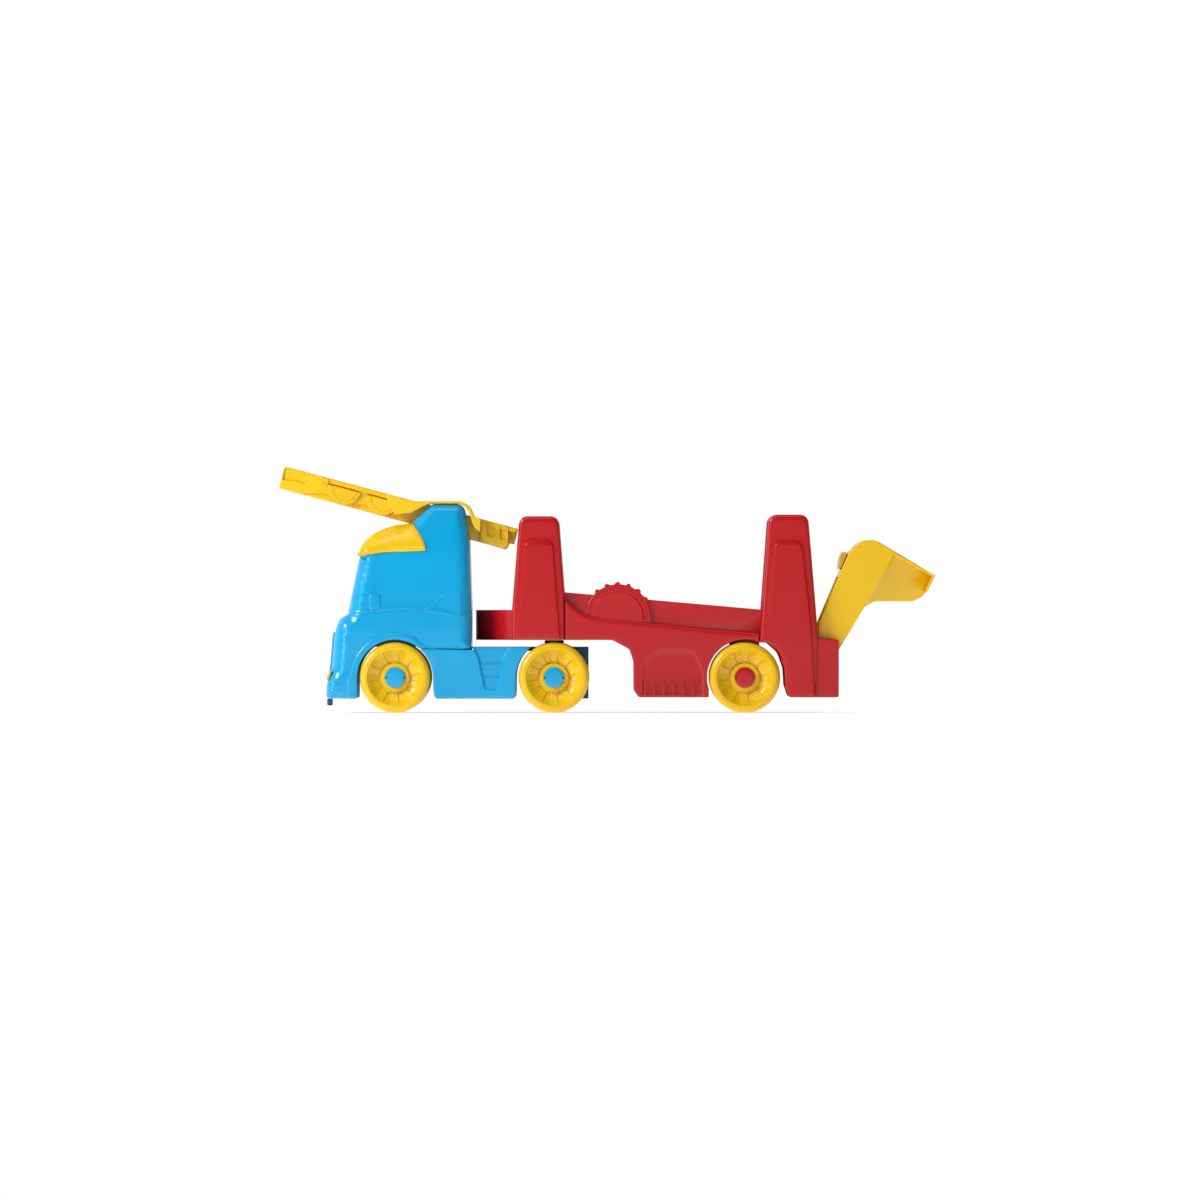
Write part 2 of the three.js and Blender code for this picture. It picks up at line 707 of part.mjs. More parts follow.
// Moulded fins along the skirts' lower edges.
const finPitch = 7.2;
const finCount = 6;
const finHeight = 11;

function fins() {
  const first = skirtFrontX + 7.5;
  const rib = (k) => box(
    first + k * finPitch,
    first + k * finPitch + 1.6,
    deckHalf + seat,
    deckHalf + seat + 1.2,
    underside + 2,
    underside + 2 + finHeight,
  );
  const backing = box(
    first - 1,
    first + (finCount - 1) * finPitch + 2.6,
    deckHalf + seat,
    deckHalf + seat + 0.7,
    underside + 2,
    underside + 3.2,
  );
  return [...Array(finCount).keys()].map(rib).reduce((all, next) => all.add(next), backing);
}

const finStrip = fins();
piece('skirt_fins_right', finStrip, red);
piece('skirt_fins_left', mirrored(finStrip), red);

// Half gear moulding that stands on each ledge, with a round knob for each tooth.
const ledgeGearX = skirtFrontX - 11.9;
const ledgeGearRing = 25.3;
const knobRadius = 1.9;
const knobCount = 6;
const knobFrom = THREE.MathUtils.degToRad(32.8);
const knobTo = THREE.MathUtils.degToRad(129);
const ledgeGearY = bedWallHalf + seat;
const ledgeGearThick = deckHalf - wall - seat - ledgeGearY;

function ledgeGear() {
  const disc = rod(ledgeGearRing, ledgeGearX, ledgeZ, ledgeGearY, ledgeGearY + ledgeGearThick, 36);
  const knobs = [...Array(knobCount).keys()].map((k) => {
    const angle = knobFrom + (knobTo - knobFrom) * k / (knobCount - 1);
    const x = ledgeGearX + (ledgeGearRing - 0.2) * Math.cos(angle);
    const z = ledgeZ + (ledgeGearRing - 0.2) * Math.sin(angle);
    return rod(knobRadius, x, z, ledgeGearY, ledgeGearY + ledgeGearThick, 10);
  });
  const dish = rod(18, ledgeGearX, ledgeZ, ledgeGearY + 2, ledgeGearY + 9, 36);
  const below = box(ledgeGearX - 40, ledgeGearX + 40, 0, overallHalf, 0, ledgeZ + seat);
  return union(disc, ...knobs).subtract(dish).subtract(below);
}

const gearMoulding = ledgeGear();
piece('ledge_gear_right', gearMoulding, red);
piece('ledge_gear_left', mirrored(gearMoulding), red);

// Kingpin: boss under the deck, pin and a snap head below the chassis plate.
const pinHeadZ = chassisTopZ - plateThick - 4;
piece('kingpin', union(
  post(bossRadius, kingpinX, 0, chassisTopZ + seat, deckZ - seat),
  post(kingpinRadius, kingpinX, 0, pinHeadZ, deckZ - seat),
), red);

// ---------------------------------------------------------------- towers
const bedEnvelope = union(
  box(kingpinX - 60, bedRearX + seat, -deckHalf - seat, deckHalf + seat, deckZ - 40, floorZ + seat),
  box(kingpinX - 60, frontEndX + seat, -deckHalf - seat, deckHalf + seat, deckZ - 1, deckTopZ + seat),
  bothSides(box(
    frontEndX - 6,
    rearTowerX + 8,
    bedWallHalf - wall - seat,
    deckHalf + seat,
    deckZ - 1,
    bedWallFrontZ + 20,
  )),
);

function towerLegs(corners) {
  return bothSides(slab(outline(corners), overallHalf - towerLegDepth, overallHalf));
}

const frontCorners = [
  [frontTowerX, deckZ],
  [frontEndX, deckZ],
  [frontEndX, bedWallFrontZ],
  [frontEndX - 4.4, frontTowerTopZ, 7],
  [frontTowerX + 5.6, frontTowerTopZ, 7],
];
const bridgeFrontX = chuteTailX + 3.5;
const frontBridge = box(
  bridgeFrontX,
  frontEndX - 4.6,
  -overallHalf + 2,
  overallHalf - 2,
  frontTowerTopZ - bridgeThick,
  frontTowerTopZ,
);
const frontBulkhead = box(
  frontEndX - 8,
  frontEndX - 8 + wall,
  -overallHalf + 2,
  overallHalf - 2,
  deckTopZ + seat,
  frontTowerTopZ - 1,
).subtract(frame(outline([
  [-neckRadius, neckZ - neckRadius, neckRadius],
  [neckRadius, neckZ - neckRadius, neckRadius],
  [neckRadius, neckZ + neckRadius, neckRadius],
  [-neckRadius, neckZ + neckRadius, neckRadius],
], Math.PI / 10), frontEndX - 20, frontEndX + 10));
piece('front_tower', union(towerLegs(frontCorners), frontBridge, frontBulkhead).subtract(bedEnvelope), red);

const rearCorners = [
  [trailerAxleX + archRadius + 4, underside + 1, 2],
  [rearEndX - 2, underside + 1],
  [rearEndX, deckZ + 4],
  [rearEndX - 7.4, rearTowerTopZ, 7],
  [rearTowerX + 6.9, rearTowerTopZ, 7],
  [rearTowerX, deckZ - 2],
  [trailerAxleX + 18, deckZ - 2],
];
const legSkin = bothSides(slab(outline(rearCorners), overallHalf - wall, overallHalf));
const legBox = bothSides(slab(outline([
  [rearTowerX, floorZ + seat],
  [bedRearX, floorZ + seat],
  [rearEndX - 7.4, rearTowerTopZ, 7],
  [rearTowerX + 6.9, rearTowerTopZ, 7],
]), overallHalf - towerLegDepth, overallHalf));
const rearBridge = box(
  rearTowerX + 12,
  rearEndX - 12,
  -overallHalf + 2,
  overallHalf - 2,
  rearTowerTopZ - bridgeThick,
  rearTowerTopZ,
);
const rearBulkheadX = rearTowerX + 20;
const rearBulkhead = box(
  rearBulkheadX,
  rearBulkheadX + wall,
  -overallHalf + 2,
  overallHalf - 2,
  floorZ + seat,
  rearTowerTopZ - 1,
).subtract(frame(outline([
  [-neckRadius, neckZ - neckRadius, neckRadius],
  [neckRadius, neckZ - neckRadius, neckRadius],
  [neckRadius, neckZ + neckRadius, neckRadius],
  [-neckRadius, neckZ + neckRadius, neckRadius],
], Math.PI / 10), rearBulkheadX - 10, rearBulkheadX + 10));
const tailSpace = box(bedRearX, trailerRearX + 5, -deckHalf - seat, deckHalf + seat, 0, deckZ + seat);
piece('rear_tower', union(legSkin, legBox, rearBridge, rearBulkhead)
  .subtract(archCut(trailerAxleX, archRadius + 2))
  .subtract(bedEnvelope)
  .subtract(tailSpace), red);

// Tail panels behind the rear legs; they hold the chute's hinge pin.
const tailPanelY = spoutHalf + 3;
const tailPanel = slab(outline([
  [trailerAxleX + archRadius + 5, underside + 1, 2],
  [trailerRearX, underside + 1, 1],
  [trailerRearX, deckZ, 1],
  [trailerAxleX + archRadius + 3, deckZ - seat],
]), tailPanelY, deckHalf)
  .subtract(archCut(trailerAxleX, archRadius + 2))
  .subtract(box(0, bedRearX + seat, 0, beyond, deckZ - seat, beyond))
  .subtract(rod(pivotRadius + runningGap, pivotX, pivotZ, 0, beyond));
piece('tail_panel_right', tailPanel, red);
piece('tail_panel_left', mirrored(tailPanel), red);
piece('hinge_pin', rod(pivotRadius, pivotX, pivotZ, -deckHalf + seat, deckHalf - seat), red);

const tailCross = box(
  trailerAxleX + archRadius + 8,
  trailerAxleX + archRadius + 8 + wall,
  -tailPanelY + seat,
  tailPanelY - seat,
  underside + 4,
  deckZ - seat,
);
piece('tail_crosswall', tailCross, red);

const trailerScrewX = (skirtFrontX + skirtRearX) / 2;
screws('trailer', [
  [trailerScrewX, 30],
  [trailerScrewX, -30],
  [trailerAxleX + 22, 20],
  [trailerAxleX + 22, -20],
], deckZ);

// ---------------------------------------------------------------- discharge chute
function fromPivot(corners) {
  return corners.map(([x, z, radius = 0]) => [pivotX + x, pivotZ + z, radius]);
}

const spoutOutline = fromPivot([
  [-7.5, -3, 4],
  [4, -7.5, 5],
  [9.8, 4],
  [29.3, 36.3, 3],
  [34.7, 40.2, 5],
  [66.7, 40.2, 6],
  [74.7, 46.1, 4],
  [82.5, 59.6, 0.6],
  [40.2, 84.7, 6],
  [34.7, 86.4, 5],
  [27.2, 85.8, 6],
  [17.6, 77.3, 1.5],
  [10.5, 61.5],
  [-5.6, 23.4],
]);
const spoutHollow = slab(outline(fromPivot([
  [-30, 13],
  [8, 13],
  [27.1, 38.6, 3],
  [33.7, 42.6, 5],
  [59.7, 42.6],
  [80.7, 26.6],
  [97.7, 47.6],
  [39.5, 82.2, 5],
  [28.3, 83, 5],
  [19.9, 76, 1],
  [12.1, 58.2],
  [-14.3, 66.6],
])), -spoutHalf + spoutWall, spoutHalf - spoutWall);
const dischargeChute = slab(outline(spoutOutline), -spoutHalf, spoutHalf)
  .subtract(spoutHollow)
  .subtract(rod(pivotRadius + runningGap, pivotX, pivotZ, -beyond, beyond));
piece('discharge_chute', dischargeChute, yellow);

// Latch bar with a thumb knob along the chute's upper edge.
const latch = slab(outline(fromPivot([
  [9.6, 63.6, 1],
  [12.2, 66.2, 0.5],
  [16.3, 77, 0.5],
  [12.7, 77.6, 1.2],
  [10.5, 72.2, 1],
])), -spoutHalf + 8, spoutHalf - 8).subtract(slab(outline(inset(spoutOutline, -seat)), -beyond, beyond));
piece('chute_latch', latch, yellow);

export default group;
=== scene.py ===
"""Toy cement mixer lorry: moulded plastic tractor and semi-trailer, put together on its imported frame."""
import json
import math

import bmesh
import bpy
import numpy as np
from mathutils import Matrix, Vector
from mathutils.geometry import delaunay_2d_cdt


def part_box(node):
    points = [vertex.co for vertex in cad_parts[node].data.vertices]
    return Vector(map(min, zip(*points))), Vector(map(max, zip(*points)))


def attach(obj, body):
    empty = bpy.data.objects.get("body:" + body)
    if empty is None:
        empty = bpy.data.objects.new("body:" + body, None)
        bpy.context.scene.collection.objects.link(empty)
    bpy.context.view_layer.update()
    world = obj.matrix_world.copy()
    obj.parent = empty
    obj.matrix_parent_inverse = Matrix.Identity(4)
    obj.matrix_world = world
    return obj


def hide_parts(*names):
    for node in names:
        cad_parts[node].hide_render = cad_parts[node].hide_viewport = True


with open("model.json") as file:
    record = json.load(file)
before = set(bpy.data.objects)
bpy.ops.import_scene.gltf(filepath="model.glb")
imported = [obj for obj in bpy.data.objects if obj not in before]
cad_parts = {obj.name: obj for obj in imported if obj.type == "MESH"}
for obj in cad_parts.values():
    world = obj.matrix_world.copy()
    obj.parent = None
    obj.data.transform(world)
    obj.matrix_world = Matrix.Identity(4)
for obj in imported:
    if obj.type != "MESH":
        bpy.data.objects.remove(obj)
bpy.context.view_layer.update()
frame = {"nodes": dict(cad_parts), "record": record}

# ------------------------------------------------------------------ studio
# A white floor that glows a little, in a room that is white behind and dark in front. Three lamps
# light the toy's near side: a soft key from its front corner, a low strip and a high fill. The
# camera is level and far away, so lines stay parallel.
MM = 0.001


def srgb(code):
    """A hex colour as the linear colour that the shader wants."""
    parts = [int(code[i:i + 2], 16) / 255 for i in (0, 2, 4)]
    return [c / 12.92 if c <= 0.04045 else ((c + 0.055) / 1.055) ** 2.4 for c in parts] + [1.0]


def add_node(tree, kind, inputs=None, **settings):
    """One node with its settings; an input is a value, or the socket that feeds it."""
    node = tree.nodes.new(kind)
    for key, value in settings.items():
        setattr(node, key, value)
    for key, value in (inputs or {}).items():
        socket = node.inputs[key]
        if isinstance(value, bpy.types.NodeSocket):
            tree.links.new(value, socket)
        else:
            socket.default_value = value
    return node


stage_scene = bpy.context.scene
stage_scene.view_settings.view_transform = "Standard"

camera_data = bpy.data.cameras.new("Level camera")
camera_data.sensor_width = 36
camera_data.lens = 400
camera_distance = 10.0
near_face = 55 * MM
view_middle = -5.25 * MM
view_height = 84.7 * MM
camera = bpy.data.objects.new("Level camera", camera_data)
camera.location = (view_middle, -camera_distance - near_face, view_height)
camera.rotation_euler = (math.radians(90), 0, 0)
stage_scene.collection.objects.link(camera)
stage_scene.camera = camera

floor_reach = 12.0
floor_glow = 0.5
floor_corners = [(x * floor_reach, y * floor_reach, 0) for x, y in ((-1, -1), (1, -1), (1, 1), (-1, 1))]
floor_mesh = bpy.data.meshes.new("Studio floor")
floor_mesh.from_pydata(floor_corners, [], [(0, 1, 2, 3)])
floor = bpy.data.objects.new("Studio floor", floor_mesh)
stage_scene.collection.objects.link(floor)
floor_paint = bpy.data.materials.new("Matt white studio paint")
floor_paint.use_nodes = True
floor_shader = floor_paint.node_tree.nodes["Principled BSDF"]
floor_shader.inputs["Base Color"].default_value = srgb("fbfbfb")
floor_shader.inputs["Roughness"].default_value = 0.9
floor_shader.inputs["Specular IOR Level"].default_value = 0.1
floor_shader.inputs["Emission Color"].default_value = srgb("ffffff")
floor_shader.inputs["Emission Strength"].default_value = floor_glow
floor_mesh.materials.append(floor_paint)

front_glow = 0.1
back_glow = 1.0
ceiling_glow = 0.55
world = bpy.data.worlds.new("White cyclorama with a dark room before it")
world.use_nodes = True
sky = world.node_tree
sky_way = add_node(sky, "ShaderNodeSeparateXYZ", {
    "Vector": add_node(sky, "ShaderNodeTexCoord").outputs["Generated"]}).outputs
sky_back = add_node(sky, "ShaderNodeMapRange", {
    "Value": sky_way["Y"], "From Min": -0.3, "From Max": 0.75, "To Min": front_glow, "To Max": back_glow})
sky_top = add_node(sky, "ShaderNodeMapRange", {
    "Value": sky_way["Z"], "From Min": 0.55, "From Max": 0.95, "To Min": 0.0, "To Max": ceiling_glow})
sky_glow = add_node(sky, "ShaderNodeMath", {
    0: sky_back.outputs["Result"], 1: sky_top.outputs["Result"]}, operation="MAXIMUM")
sky.nodes["Background"].inputs["Color"].default_value = (1.0, 1.0, 1.0, 1.0)
sky.links.new(sky_glow.outputs[0], sky.nodes["Background"].inputs["Strength"])
stage_scene.world = world


def soft_light(name, place, aim, size, watts):
    """A square area light at place that looks at aim, all in metres."""
    data = bpy.data.lights.new(name, "AREA")
    data.size = size
    data.energy = watts
    light = bpy.data.objects.new(name, data)
    light.location = place
    light.rotation_euler = (Vector(aim) - Vector(place)).to_track_quat("-Z", "Y").to_euler()
    stage_scene.collection.objects.link(light)


toy_middle = (0, 0, 0.08)
soft_light("Key light", (-1.9, -1.2, 1.35), toy_middle, 0.8, 46)
soft_light("Corner strip", (-1.5, -1.4, 0.25), toy_middle, 0.3, 3)
soft_light("Front fill", (-0.6, -2.0, 2.8), toy_middle, 1.0, 12)

# ------------------------------------------------------------------ chassis
# The chassis is one dark injection moulding in polypropylene: a spine plate with open boxes
# below it that carry the axles. Its dark petrol blue is partly the plastic's own colour and partly
# painted shade, made darker to stand for the shade under the trailer and between the wheels.
# The tongue behind the bumper is clipped to its front end.
bodies = {node: body for body, nodes in frame["record"]["behaviour"]["bodies"].items() for node in nodes}
slots = {entry["node"]: entry["material_slot"] for entry in frame["record"]["subparts"]}
cloud_size = 60 * MM
flow_size = 9 * MM
# A real spark-eroded skin is finer than this: it is drawn coarse enough to break up the gloss.
grain_size = 2.5 * MM
grain_depth = 0.03 * MM


def moulded_plastic(name, face, shade, roughness, ior=1.53):
    """Injection moulded plastic: one colour with a faint cloud of flow marks, so its gloss is not
    quite even, and a fine spark-eroded skin."""
    material = bpy.data.materials.new(name)
    material.use_nodes = True
    tree = material.node_tree
    shader = tree.nodes["Principled BSDF"]
    shader.inputs["IOR"].default_value = ior
    place = add_node(tree, "ShaderNodeTexCoord").outputs["Object"]
    cloud = add_node(tree, "ShaderNodeTexNoise", {"Vector": place, "Scale": 1 / cloud_size, "Detail": 3.0})
    tint = add_node(tree, "ShaderNodeMix", {
        0: add_node(tree, "ShaderNodeMapRange", {
            "Value": cloud.outputs["Fac"], "From Min": 0.3, "From Max": 0.7}).outputs["Result"],
        6: srgb(face), 7: srgb(shade)}, data_type="RGBA")
    tree.links.new(tint.outputs[2], shader.inputs["Base Color"])
    flow = add_node(tree, "ShaderNodeTexNoise", {"Vector": place, "Scale": 1 / flow_size, "Detail": 4.0})
    gloss = add_node(tree, "ShaderNodeMapRange", {
        "Value": flow.outputs["Fac"], "To Min": roughness - 0.02, "To Max": roughness + 0.03})
    tree.links.new(gloss.outputs["Result"], shader.inputs["Roughness"])
    skin = add_node(tree, "ShaderNodeTexNoise", {"Vector": place, "Scale": 1 / grain_size, "Detail": 1.0})
    relief = add_node(tree, "ShaderNodeBump", {
        "Height": skin.outputs["Fac"], "Strength": 0.2, "Distance": grain_depth})
    tree.links.new(relief.outputs["Normal"], shader.inputs["Normal"])
    return material


# The petrol blue is partly painted shade: it is darkened to stand for the shade under the trailer, behind the
# wheels and below the bumper.
finishes = {"petrol_plastic": moulded_plastic(
    "Satin moulded polypropylene, petrol blue", "14506e", "10455f", 0.42, 1.49)}


def show(name, mesh, slot, body, nodes=(), sharp=32.0):
    """A finished piece: smooth but for edges sharper than an angle in degrees, with the finish of
    its slot, its body and the nodes it replaces."""
    for polygon in mesh.polygons:
        polygon.use_smooth = True
    mesh.set_sharp_from_angle(angle=math.radians(sharp))
    mesh = with_modifiers(mesh, ("WEIGHTED_NORMAL", {"weight": 90, "keep_sharp": True}))
    mesh.materials.clear()
    mesh.materials.append(finishes[slot])
    piece = bpy.data.objects.new(name, mesh)
    stage_scene.collection.objects.link(piece)
    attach(piece, body)
    if nodes:
        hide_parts(*nodes)
    return piece


def solid_of(node):
    """A copy of a CAD node's solid as clean faces: triangles welded, flat areas joined."""
    mesh = frame["nodes"][node].data.copy()
    work = bmesh.new()
    work.from_mesh(mesh)
    bmesh.ops.remove_doubles(work, verts=work.verts, dist=0.02 * MM)
    bmesh.ops.dissolve_limit(
        work, angle_limit=math.radians(1.0), verts=work.verts, edges=work.edges, delimit=set())
    work.to_mesh(mesh)
    work.free()
    return mesh


def with_modifiers(mesh, *modifiers):
    """The mesh with modifiers applied, each given as (type, settings)."""
    carrier = bpy.data.objects.new("carrier", mesh)
    stage_scene.collection.objects.link(carrier)
    for kind, settings in modifiers:
        modifier = carrier.modifiers.new(kind.title(), kind)
        for key, value in settings.items():
            setattr(modifier, key, value)
    graph = bpy.context.evaluated_depsgraph_get()
    result = bpy.data.meshes.new_from_object(carrier.evaluated_get(graph))
    bpy.data.objects.remove(carrier)
    return result


def eased(mesh, radius, segments=3, angle=30.0):
    """The mesh with its edges rounded by a radius in mm, as a mould's edges are."""
    return with_modifiers(mesh, ("BEVEL", {
        "width": radius * MM, "segments": segments, "limit_method": "ANGLE",
        "angle_limit": math.radians(angle), "use_clamp_overlap": True}))


def show_eased(node, radius):
    """A CAD node's own shape with rounded edges, as its finished piece."""
    show(f"{node}_moulding", eased(solid_of(node), radius), slots[node], bodies[node], [node])


show_eased("chassis_frame", 0.8)

# ------------------------------------------------------------------ front tongue
# A thin foot of the same polypropylene hangs below the bumper, where a towing string is tied.
# Its dark colour is partly painted shade, standing for the shade below the bumper.
foot_length = 4.0
foot_top = 11.0
beyond = 300  # cutters reach out past the whole toy


def cuboid(low, high):
    """A plain block between two corners, in mm."""
    mesh = bpy.data.meshes.new("block")
    work = bmesh.new()
    bmesh.ops.create_cube(work, size=1)
    for vertex in work.verts:
        vertex.co = [MM * (a + (b - a) * (c + 0.5)) for a, b, c in zip(low, high, vertex.co)]
    work.to_mesh(mesh)
    work.free()
    return mesh


def cut(mesh, tool, operation="DIFFERENCE"):
    """The mesh with a tool's solid taken away, or joined to it."""
    other = bpy.data.objects.new("tool", tool)
    stage_scene.collection.objects.link(other)
    result = with_modifiers(mesh, ("BOOLEAN", {"object": other, "operation": operation, "solver": "EXACT"}))
    bpy.data.objects.remove(other)
    return result


def joined(*meshes):
    """Several meshes as one, each part closed in itself."""
    work = bmesh.new()
    for mesh in meshes:
        work.from_mesh(mesh)
    result = bpy.data.meshes.new("joined")
    work.to_mesh(result)
    work.free()
    return result


foot_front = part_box("front_tongue")[0][0] / MM
tongue = cut(solid_of("front_tongue"), cuboid((foot_front + foot_length, -beyond, -beyond),
                                              (beyond, beyond, foot_top)))
show("front_tongue_moulding", eased(tongue, 0.7), "petrol_plastic", "tractor", ["front_tongue"])

# ------------------------------------------------------------------ screws
# Pan head tapping screws in zinc plated steel hold the mouldings together from below. Their
# heads sit in the hollow underside, each with a cross recess pressed into it.
recess_reach = 1.3
recess_half = 0.28
recess_depth = 0.8
blotch_size = 1.5 * MM
zinc_steel = bpy.data.materials.new("Zinc plated steel, tumbled")
zinc_steel.use_nodes = True
zinc_tree = zinc_steel.node_tree
zinc_shader = zinc_tree.nodes["Principled BSDF"]
zinc_shader.inputs["Metallic"].default_value = 1.0
zinc_place = add_node(zinc_tree, "ShaderNodeTexCoord").outputs["Object"]
zinc_cloud = add_node(zinc_tree, "ShaderNodeTexNoise", {"Vector": zinc_place, "Scale": 1 / blotch_size})
zinc_gloss = add_node(zinc_tree, "ShaderNodeMapRange", {
    "Value": zinc_cloud.outputs["Fac"], "To Min": 0.24, "To Max": 0.45})
zinc_tree.links.new(zinc_gloss.outputs["Result"], zinc_shader.inputs["Roughness"])
zinc_tint = add_node(zinc_tree, "ShaderNodeMix", {
    0: zinc_cloud.outputs["Fac"], 6: srgb("c9ccd1"), 7: srgb("aeb3ba")}, data_type="RGBA")
zinc_tree.links.new(zinc_tint.outputs[2], zinc_shader.inputs["Base Color"])
finishes["screw_steel"] = zinc_steel


def mesh_from(points, faces, name="moulding"):
    """A mesh from points in mm and faces, welded, with its normals outward."""
    mesh = bpy.data.meshes.new(name)
    mesh.from_pydata([tuple(c * MM for c in p) for p in points], [], [tuple(f) for f in faces])
    work = bmesh.new()
    work.from_mesh(mesh)
    bmesh.ops.remove_doubles(work, verts=work.verts, dist=0.01 * MM)
    bmesh.ops.dissolve_degenerate(work, edges=work.edges, dist=0.001 * MM)
    bmesh.ops.recalc_face_normals(work, faces=work.faces)
    work.to_mesh(mesh)
    work.free()
    return mesh


def lathe(section, centre, axis, sides):
    """A turned shape: section holds (radius, height along the axis) in mm, from pole to pole."""
    points = []
    faces = []
    rows = len(section)
    for k in range(sides):
        turn = 2 * math.pi * k / sides
        for r, h in section:
            a, b = r * math.cos(turn), r * math.sin(turn)
            point = (a, h, b) if axis == "Y" else (a, b, h)
            points.append(tuple(p + c for p, c in zip(point, centre)))
    for k in range(sides):
        for i in range(rows - 1):
            faces.append((k * rows + i, ((k + 1) % sides) * rows + i,
                          ((k + 1) % sides) * rows + i + 1, k * rows + i + 1))
    return mesh_from(points, faces)


for node in [n for n in frame["nodes"] if "_screw_" in n]:
    low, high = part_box(node)
    middle = [(a + b) / 2 / MM for a, b in zip(low, high)]
    radius = (high[0] - low[0]) / 2 / MM
    base, top = low[2] / MM, high[2] / MM
    head = lathe([(0, base), (radius * 0.55, base + 0.05), (radius * 0.9, base + 0.5), (radius, base + 1.0),
                  (radius, top), (0, top)], (middle[0], middle[1], 0), "Z", 32)
    for across, along in ((recess_reach, recess_half), (recess_half, recess_reach)):
        recess = cuboid((middle[0] - across, middle[1] - along, base - 1),
                        (middle[0] + across, middle[1] + along, base + recess_depth))
        head = cut(head, recess)
    show(f"{node}_head", head, "screw_steel", bodies[node], [node])

# ------------------------------------------------------------------ wheels
# Each wheel is one yellow ABS moulding: a round tread ring, a dished face of ten raised and ten
# sunk panels, and a hub ring. One tenth of the wheel is made, and copied round the axle.
finishes["yellow_plastic"] = moulded_plastic("Glossy moulded ABS, sun yellow", "e8bd05", "deb204", 0.24)
panels = 10
panel_rise = 0.9
bore = 7.2
hub_ring = 10.6
hub_foot = 11.9
step_radius = 17.0
rim_inner = 20.6
tyre_radius = 26.5
wheel_width = 20.0
tread_round = 4.6
tread_centre = 4.7
face_depth = 7.2
face_fade = 2.2


def ring_tree():
    """Copies of one piece: each is turned about the Y axis and shifted by the same step again."""
    tree = bpy.data.node_groups.new("Copies in a row or a ring", "GeometryNodeTree")
    tree.interface.new_socket("Geometry", in_out="OUTPUT", socket_type="NodeSocketGeometry")
    for name, kind in (("Geometry", "Geometry"), ("Piece", "Object"), ("Copies", "Int"), ("Turn", "Float"),
                       ("First turn", "Float"), ("Step", "Vector"), ("Place", "Vector"),
                       ("Weld", "Float"), ("Finish", "Material")):
        tree.interface.new_socket(name, in_out="INPUT", socket_type=f"NodeSocket{kind}")
    given = tree.nodes.new("NodeGroupInput").outputs
    count = add_node(tree, "GeometryNodeInputIndex").outputs[0]
    shift = add_node(tree, "ShaderNodeVectorMath", {0: given["Step"]}, operation="SCALE")
    tree.links.new(count, shift.inputs["Scale"])
    points = add_node(tree, "GeometryNodePoints", {"Count": given["Copies"], "Position": shift.outputs[0]})
    turned = add_node(tree, "ShaderNodeMath", {0: count, 1: given["Turn"], 2: given["First turn"]},
                      operation="MULTIPLY_ADD")
    around = add_node(tree, "ShaderNodeCombineXYZ", {"Y": turned.outputs[0]})
    source = add_node(tree, "GeometryNodeObjectInfo", {"Object": given["Piece"]})
    copies = add_node(tree, "GeometryNodeInstanceOnPoints", {
        "Points": points.outputs[0], "Instance": source.outputs["Geometry"],
        "Rotation": around.outputs[0]})
    placed = add_node(tree, "GeometryNodeTransform", {
        "Geometry": copies.outputs[0], "Translation": given["Place"]})
    real = add_node(tree, "GeometryNodeRealizeInstances", {"Geometry": placed.outputs[0]})
    welded = add_node(tree, "GeometryNodeMergeByDistance", {
        "Geometry": real.outputs[0], "Distance": given["Weld"]})
    finished = add_node(tree, "GeometryNodeSetMaterial", {
        "Geometry": welded.outputs[0], "Material": given["Finish"]})
    add_node(tree, "NodeGroupOutput", {"Geometry": finished.outputs[0]})
    return tree


copies_tree = ring_tree()


def repeated(mesh, copies, finish, turn=0.0, first=0.0, step=(0, 0, 0), place=(0, 0, 0), weld=0.0):
    """The mesh repeated by the tree above, as one plain mesh. Lengths in mm, angles in degrees."""
    source = bpy.data.objects.new("source", mesh)
    carrier = bpy.data.objects.new("carrier", bpy.data.meshes.new("carrier"))
    stage_scene.collection.objects.link(source)
    stage_scene.collection.objects.link(carrier)
    modifier = carrier.modifiers.new("Copies", "NODES")
    modifier.node_group = copies_tree
    values = {"Piece": source, "Copies": copies, "Turn": math.radians(turn),
              "First turn": math.radians(first), "Step": [s * MM for s in step],
              "Place": [p * MM for p in place], "Weld": weld * MM, "Finish": finish}
    for socket in copies_tree.interface.items_tree:
        if socket.in_out == "INPUT" and socket.name in values:
            modifier[socket.identifier] = values[socket.name]
    graph = bpy.context.evaluated_depsgraph_get()
    result = bpy.data.meshes.new_from_object(carrier.evaluated_get(graph))
    bpy.data.objects.remove(carrier)
    bpy.data.objects.remove(source)
    return result


def arc(centre, radius, start, end, steps):
    """Points on an arc, angles in degrees."""
    return [(centre[0] + radius * math.cos(math.radians(start + (end - start) * k / steps)),
             centre[1] + radius * math.sin(math.radians(start + (end - start) * k / steps)))
            for k in range(steps + 1)]


